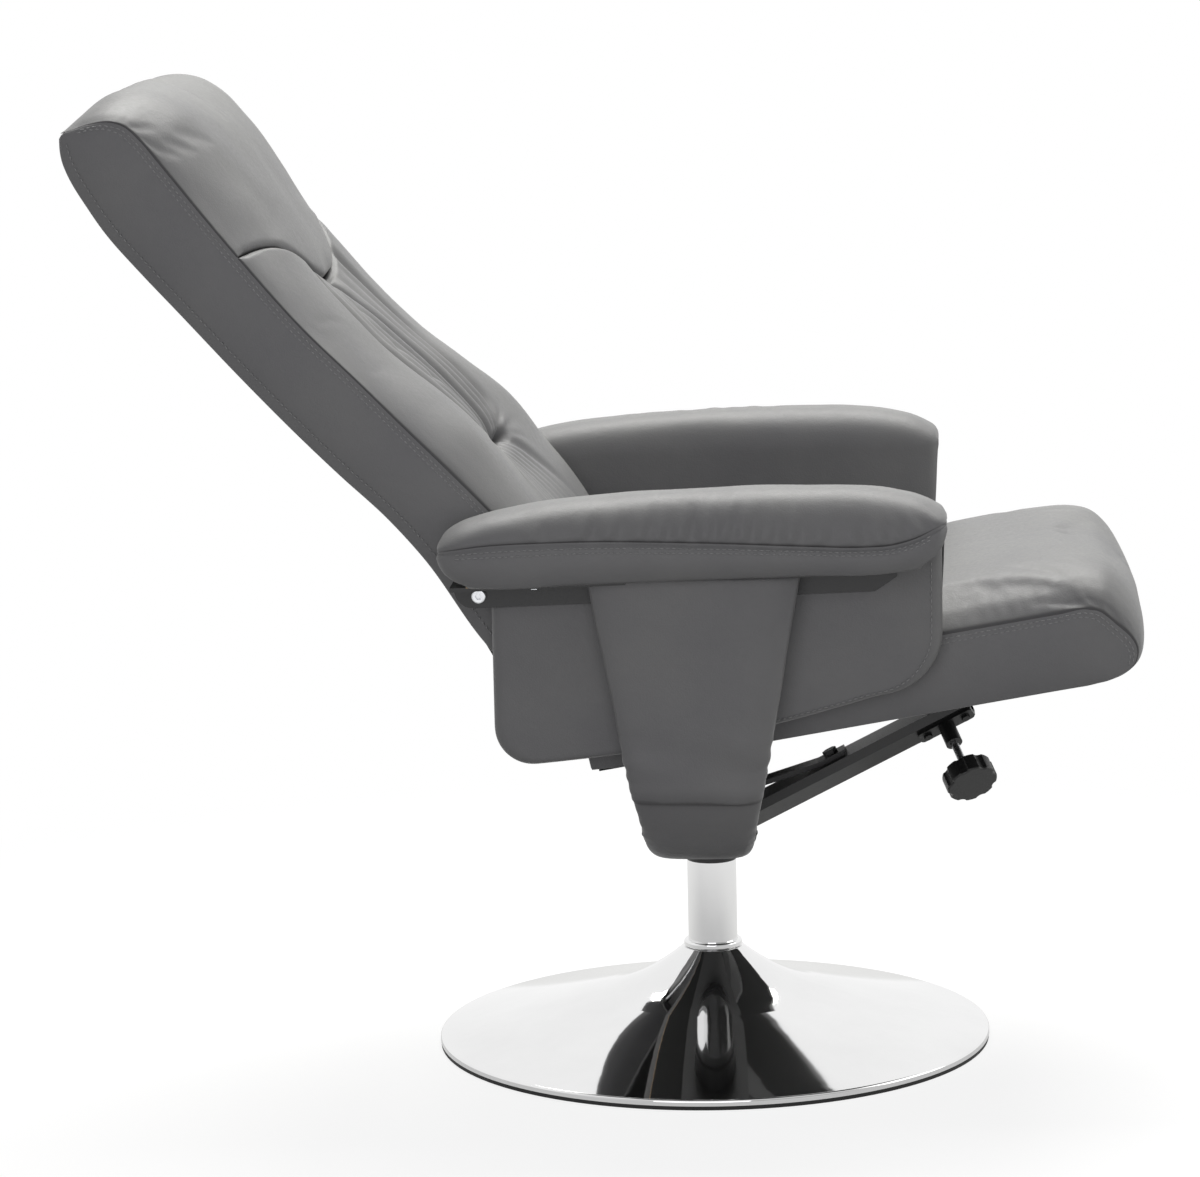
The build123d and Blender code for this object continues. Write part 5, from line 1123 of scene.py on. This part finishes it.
def panel_outline():
    """Points round a side panel, forward and up: its edge below the arm, and the whole loop."""
    lean = math.atan((PANEL_FRONT_LOW - PANEL_REAR_LOW) / (PANEL_FRONT - PANEL_REAR))
    turn = np.linspace(0, math.pi / 2 + lean * 0.5, 12)[1:, None]
    corner = np.array((PANEL_REAR, PANEL_REAR_LOW))
    rear = corner + PANEL_REAR_ROUND * (1 - np.hstack([np.cos(turn), np.sin(turn)]))
    share = np.linspace(0, 1, 14)[1:, None]
    low_front = np.array((PANEL_FRONT - PANEL_FRONT_ROUND, PANEL_FRONT_LOW - 0.001))
    lower = rear[-1] + (low_front - rear[-1]) * share - PANEL_SAG * np.sin(math.pi * share) * (0, 1)
    turn = np.linspace(0, math.pi / 2, 14)[1:, None]
    corner = np.array((PANEL_FRONT - PANEL_FRONT_ROUND, PANEL_FRONT_LOW + PANEL_FRONT_ROUND))
    front = corner + PANEL_FRONT_ROUND * np.hstack([np.sin(turn), -np.cos(turn)])
    start = ((PANEL_REAR, PANEL_TOP), (PANEL_REAR, PANEL_REAR_LOW + PANEL_REAR_ROUND))
    points = np.concatenate([start, rear, lower, front, [(PANEL_FRONT, PANEL_TOP)]])
    lengths = run_lengths(points)
    places = np.linspace(0, lengths[-1], int(lengths[-1] / SPACING))
    edge = np.stack([np.interp(places, lengths, way) for way in points.T], axis=1)
    across = np.linspace(PANEL_FRONT, PANEL_REAR, int((PANEL_FRONT - PANEL_REAR) / SPACING))[1:-1]
    return edge, np.concatenate([edge, np.stack([across, np.full(across.shape, PANEL_TOP)], axis=1)])


def make_panel(side, name):
    """Side panel: a padded board, drawn in round its edge and topstitched at the front."""
    edge, loop = panel_outline()
    middle = loop.mean(axis=0)
    radius = np.linalg.norm(loop - middle, axis=1).mean()
    thick = (PANEL_OUTER - PANEL_INNER) / 2
    centre = (PANEL_OUTER + PANEL_INNER) / 2
    rounded = np.sqrt(1 - (1 - np.minimum(PANEL_INSETS / PANEL_ROUND, 1)) ** 2)
    crown = np.minimum(PANEL_INSETS / PANEL_CROWN_INSET, 1)
    deep = thick * ((1 - PANEL_CROWN) * rounded + PANEL_CROWN * crown)
    # Rings from the middle of the inner face, out over the edge and in to the middle of the outer face
    insets = np.concatenate([PANEL_INSETS[:0:-1], PANEL_INSETS])[:, None, None]
    out = np.concatenate([-deep[:0:-1], deep])[:, None]
    flat = middle + (loop - middle) * (1 - insets / radius)
    rings = np.stack(np.broadcast_arrays(flat[..., 0], out, flat[..., 1]), axis=-1)
    swell = ripple(rings, *PANEL_RIPPLES, PANEL_SEED + side) * np.sign(out)
    rings[..., 1] = side * (centre + rings[..., 1] + swell)
    soft_piece(tube_mesh(name, rings, np.zeros(rings.shape[:2])), "swivel", (name,))
    shown = middle + (edge - middle) * (1 - PANEL_STITCH_INSET / radius)
    shown = shown[shown[:, 0] > 0.02]
    face = np.full(len(shown), side * (centre + thick * 0.93))
    return [np.stack([shown[:, 0], face, shown[:, 1]], axis=-1)]


def make_corner_lines(name, rings):
    """Thin black tubes along the lower corners of a leg cover."""
    start = np.argmax(rings[:, 0, 2] < CORNER_LINE_TOP)
    across = np.array((1.0, 0.0, 0.0))
    angle = np.arange(CORNER_LINE_SIDES)[:, None] * 2 * math.pi / CORNER_LINE_SIDES
    points, faces = [], []
    for column in (0, rings.shape[1] // 2):
        line = rings[start:, column] + (0.0006 * np.sign(rings[start, column, 0]), 0, 0)
        heading = np.gradient(line, axis=0)
        heading /= np.linalg.norm(heading, axis=1, keepdims=True)
        over = np.cross(heading, across)[:, None]
        hoops = line[:, None] + CORNER_LINE_RADIUS * (across * np.cos(angle) + over * 2.5 * np.sin(angle))
        faces.append(hoop_faces(len(line), CORNER_LINE_SIDES, sum(map(len, points))))
        points.append(hoops.reshape(-1, 3))
    piece = make_mesh(name, np.concatenate(points), np.concatenate(faces))
    piece.data.materials.append(CORNER_LINE_FINISH)
    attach(piece, "swivel")


def make_arms_and_sides():
    """Both arms, legs and side panels, with their stitching."""
    lines = []
    for side, word in ((-1, "right"), (1, "left")):
        lines += make_arm(side, word + "_arm_pad")
        rings = make_leg(side, word + "_leg_cover")
        make_corner_lines(word + "_leg_corner_lines", rings)
        lines += make_panel(side, word + "_side_panel")
    sew("side_stitches", lines, "swivel")


def swing(first, second, degrees):
    """Two directions at right angles, the first turned towards the second."""
    turn = math.radians(degrees)
    return first * math.cos(turn) + second * math.sin(turn), second * math.cos(turn) - first * math.sin(turn)


def photo_camera():
    """Camera at the fitted place and turn."""
    azimuth, elevation = math.radians(CAMERA_AZIMUTH), math.radians(CAMERA_ELEVATION)
    place = CAMERA_DISTANCE * Vector((
        math.sin(azimuth) * math.cos(elevation),
        -math.cos(azimuth) * math.cos(elevation),
        math.sin(elevation),
    ))
    ahead = -place.normalized()
    right = ahead.cross(Vector((0, 0, 1))).normalized()
    up = right.cross(ahead)
    ahead, right = swing(ahead, right, CAMERA_YAW)
    ahead, up = swing(ahead, up, CAMERA_PITCH)
    right, up = swing(right, up, CAMERA_ROLL)
    data = bpy.data.cameras.new("camera")
    data.sensor_width = 36
    data.sensor_fit = "HORIZONTAL"
    data.lens = CAMERA_LENS
    data.clip_end = 60
    camera = bpy.data.objects.new("camera", data)
    turn = Matrix((right, up, -ahead)).transposed().to_4x4()
    camera.matrix_world = Matrix.Translation(place) @ turn
    bpy.context.scene.collection.objects.link(camera)
    bpy.context.scene.camera = camera


def white_room():
    """Room that is white to the camera, darker in mirrors towards the near side, and dim as light."""
    world = bpy.data.worlds.new("room")
    bpy.context.scene.world = world
    world.use_nodes = True
    look = Nodes(world.node_tree)
    sky = look.tree.nodes["Background"]
    sky.inputs["Color"].default_value = (0.97, 0.985, 1.0, 1)
    sky.inputs["Strength"].default_value = 0.22
    white = look.add("ShaderNodeBackground", Color=(1, 1, 1, 1))
    rays = look.add("ShaderNodeLightPath").outputs
    place = look.add("ShaderNodeTexCoord")
    behind = look.add("ShaderNodeVectorMath", operation="DOT_PRODUCT")
    behind.inputs[1].default_value = (-0.35, 0.94, 0.0)
    look.link(place.outputs["Generated"], behind.inputs[0])
    walls = look.span(behind.outputs["Value"], -1.0, 0.1, 0.40, 1.0)
    look.link(look.larger(walls, rays["Is Camera Ray"]), white.inputs["Strength"])
    seen = look.larger(rays["Is Camera Ray"], rays["Is Glossy Ray"])
    shown = look.mixed(seen, sky.outputs["Background"], white.outputs["Background"])
    look.link(shown, look.tree.nodes["World Output"].inputs["Surface"])


def pale_floor():
    """Floor that keeps the shadow near the chair and goes white further out."""
    mesh = bpy.data.meshes.new("floor")
    corners = [(x * FLOOR_REACH, y * FLOOR_REACH, 0) for x, y in ((-1, -1), (1, -1), (1, 1), (-1, 1))]
    mesh.from_pydata(corners, [], [(0, 1, 2, 3)])
    floor = bpy.data.objects.new("floor", mesh)
    floor.location.z = -0.0005
    bpy.context.scene.collection.objects.link(floor)
    material = bpy.data.materials.new("pale_floor")
    material.use_nodes = True
    look = Nodes(material.node_tree)
    look.tree.nodes.remove(look.tree.nodes["Principled BSDF"])
    rays = look.add("ShaderNodeLightPath").outputs
    matt = look.add("ShaderNodeBsdfDiffuse", Color=(0.25, 0.25, 0.25, 1))
    glow = look.add("ShaderNodeEmission")
    look.link(look.span(rays["Is Camera Ray"], 0.0, 1.0, 0.52, 0.82), glow.inputs["Strength"])
    shadowed = look.add("ShaderNodeAddShader")
    look.link(matt.outputs["BSDF"], shadowed.inputs[0])
    look.link(glow.outputs["Emission"], shadowed.inputs[1])
    white = look.add("ShaderNodeEmission", Strength=1.0)
    place = look.add("ShaderNodeTexCoord")
    distance = look.add("ShaderNodeVectorMath", operation="LENGTH")
    look.link(place.outputs["Object"], distance.inputs[0])
    away = look.span(distance.outputs["Value"], 0.45, 1.3, 0.0, 1.0, interpolation_type="SMOOTHSTEP")
    faded = look.mixed(away, shadowed.outputs["Shader"], white.outputs["Emission"])
    seen = look.larger(rays["Is Camera Ray"], rays["Is Glossy Ray"])
    shown = look.mixed(seen, matt.outputs["BSDF"], faded)
    look.link(shown, look.tree.nodes["Material Output"].inputs["Surface"])
    mesh.materials.append(material)


def hang_lamps():
    """Soft light from above, from the front and from the near side."""
    for name, place, size, power, aim, tint in LAMPS:
        light = bpy.data.lights.new(name, "AREA")
        light.size = size
        light.energy = power
        light.color = tint
        lamp = bpy.data.objects.new(name, light)
        lamp.location = place
        lamp.rotation_euler = (Vector(aim) - Vector(place)).to_track_quat("-Z", "Y").to_euler()
        bpy.context.scene.collection.objects.link(lamp)


bpy.context.scene.view_settings.view_transform = "Standard"
photo_camera()
white_room()
pale_floor()
hang_lamps()
finish_cad_nodes()
make_back()
make_seat()
make_arms_and_sides()
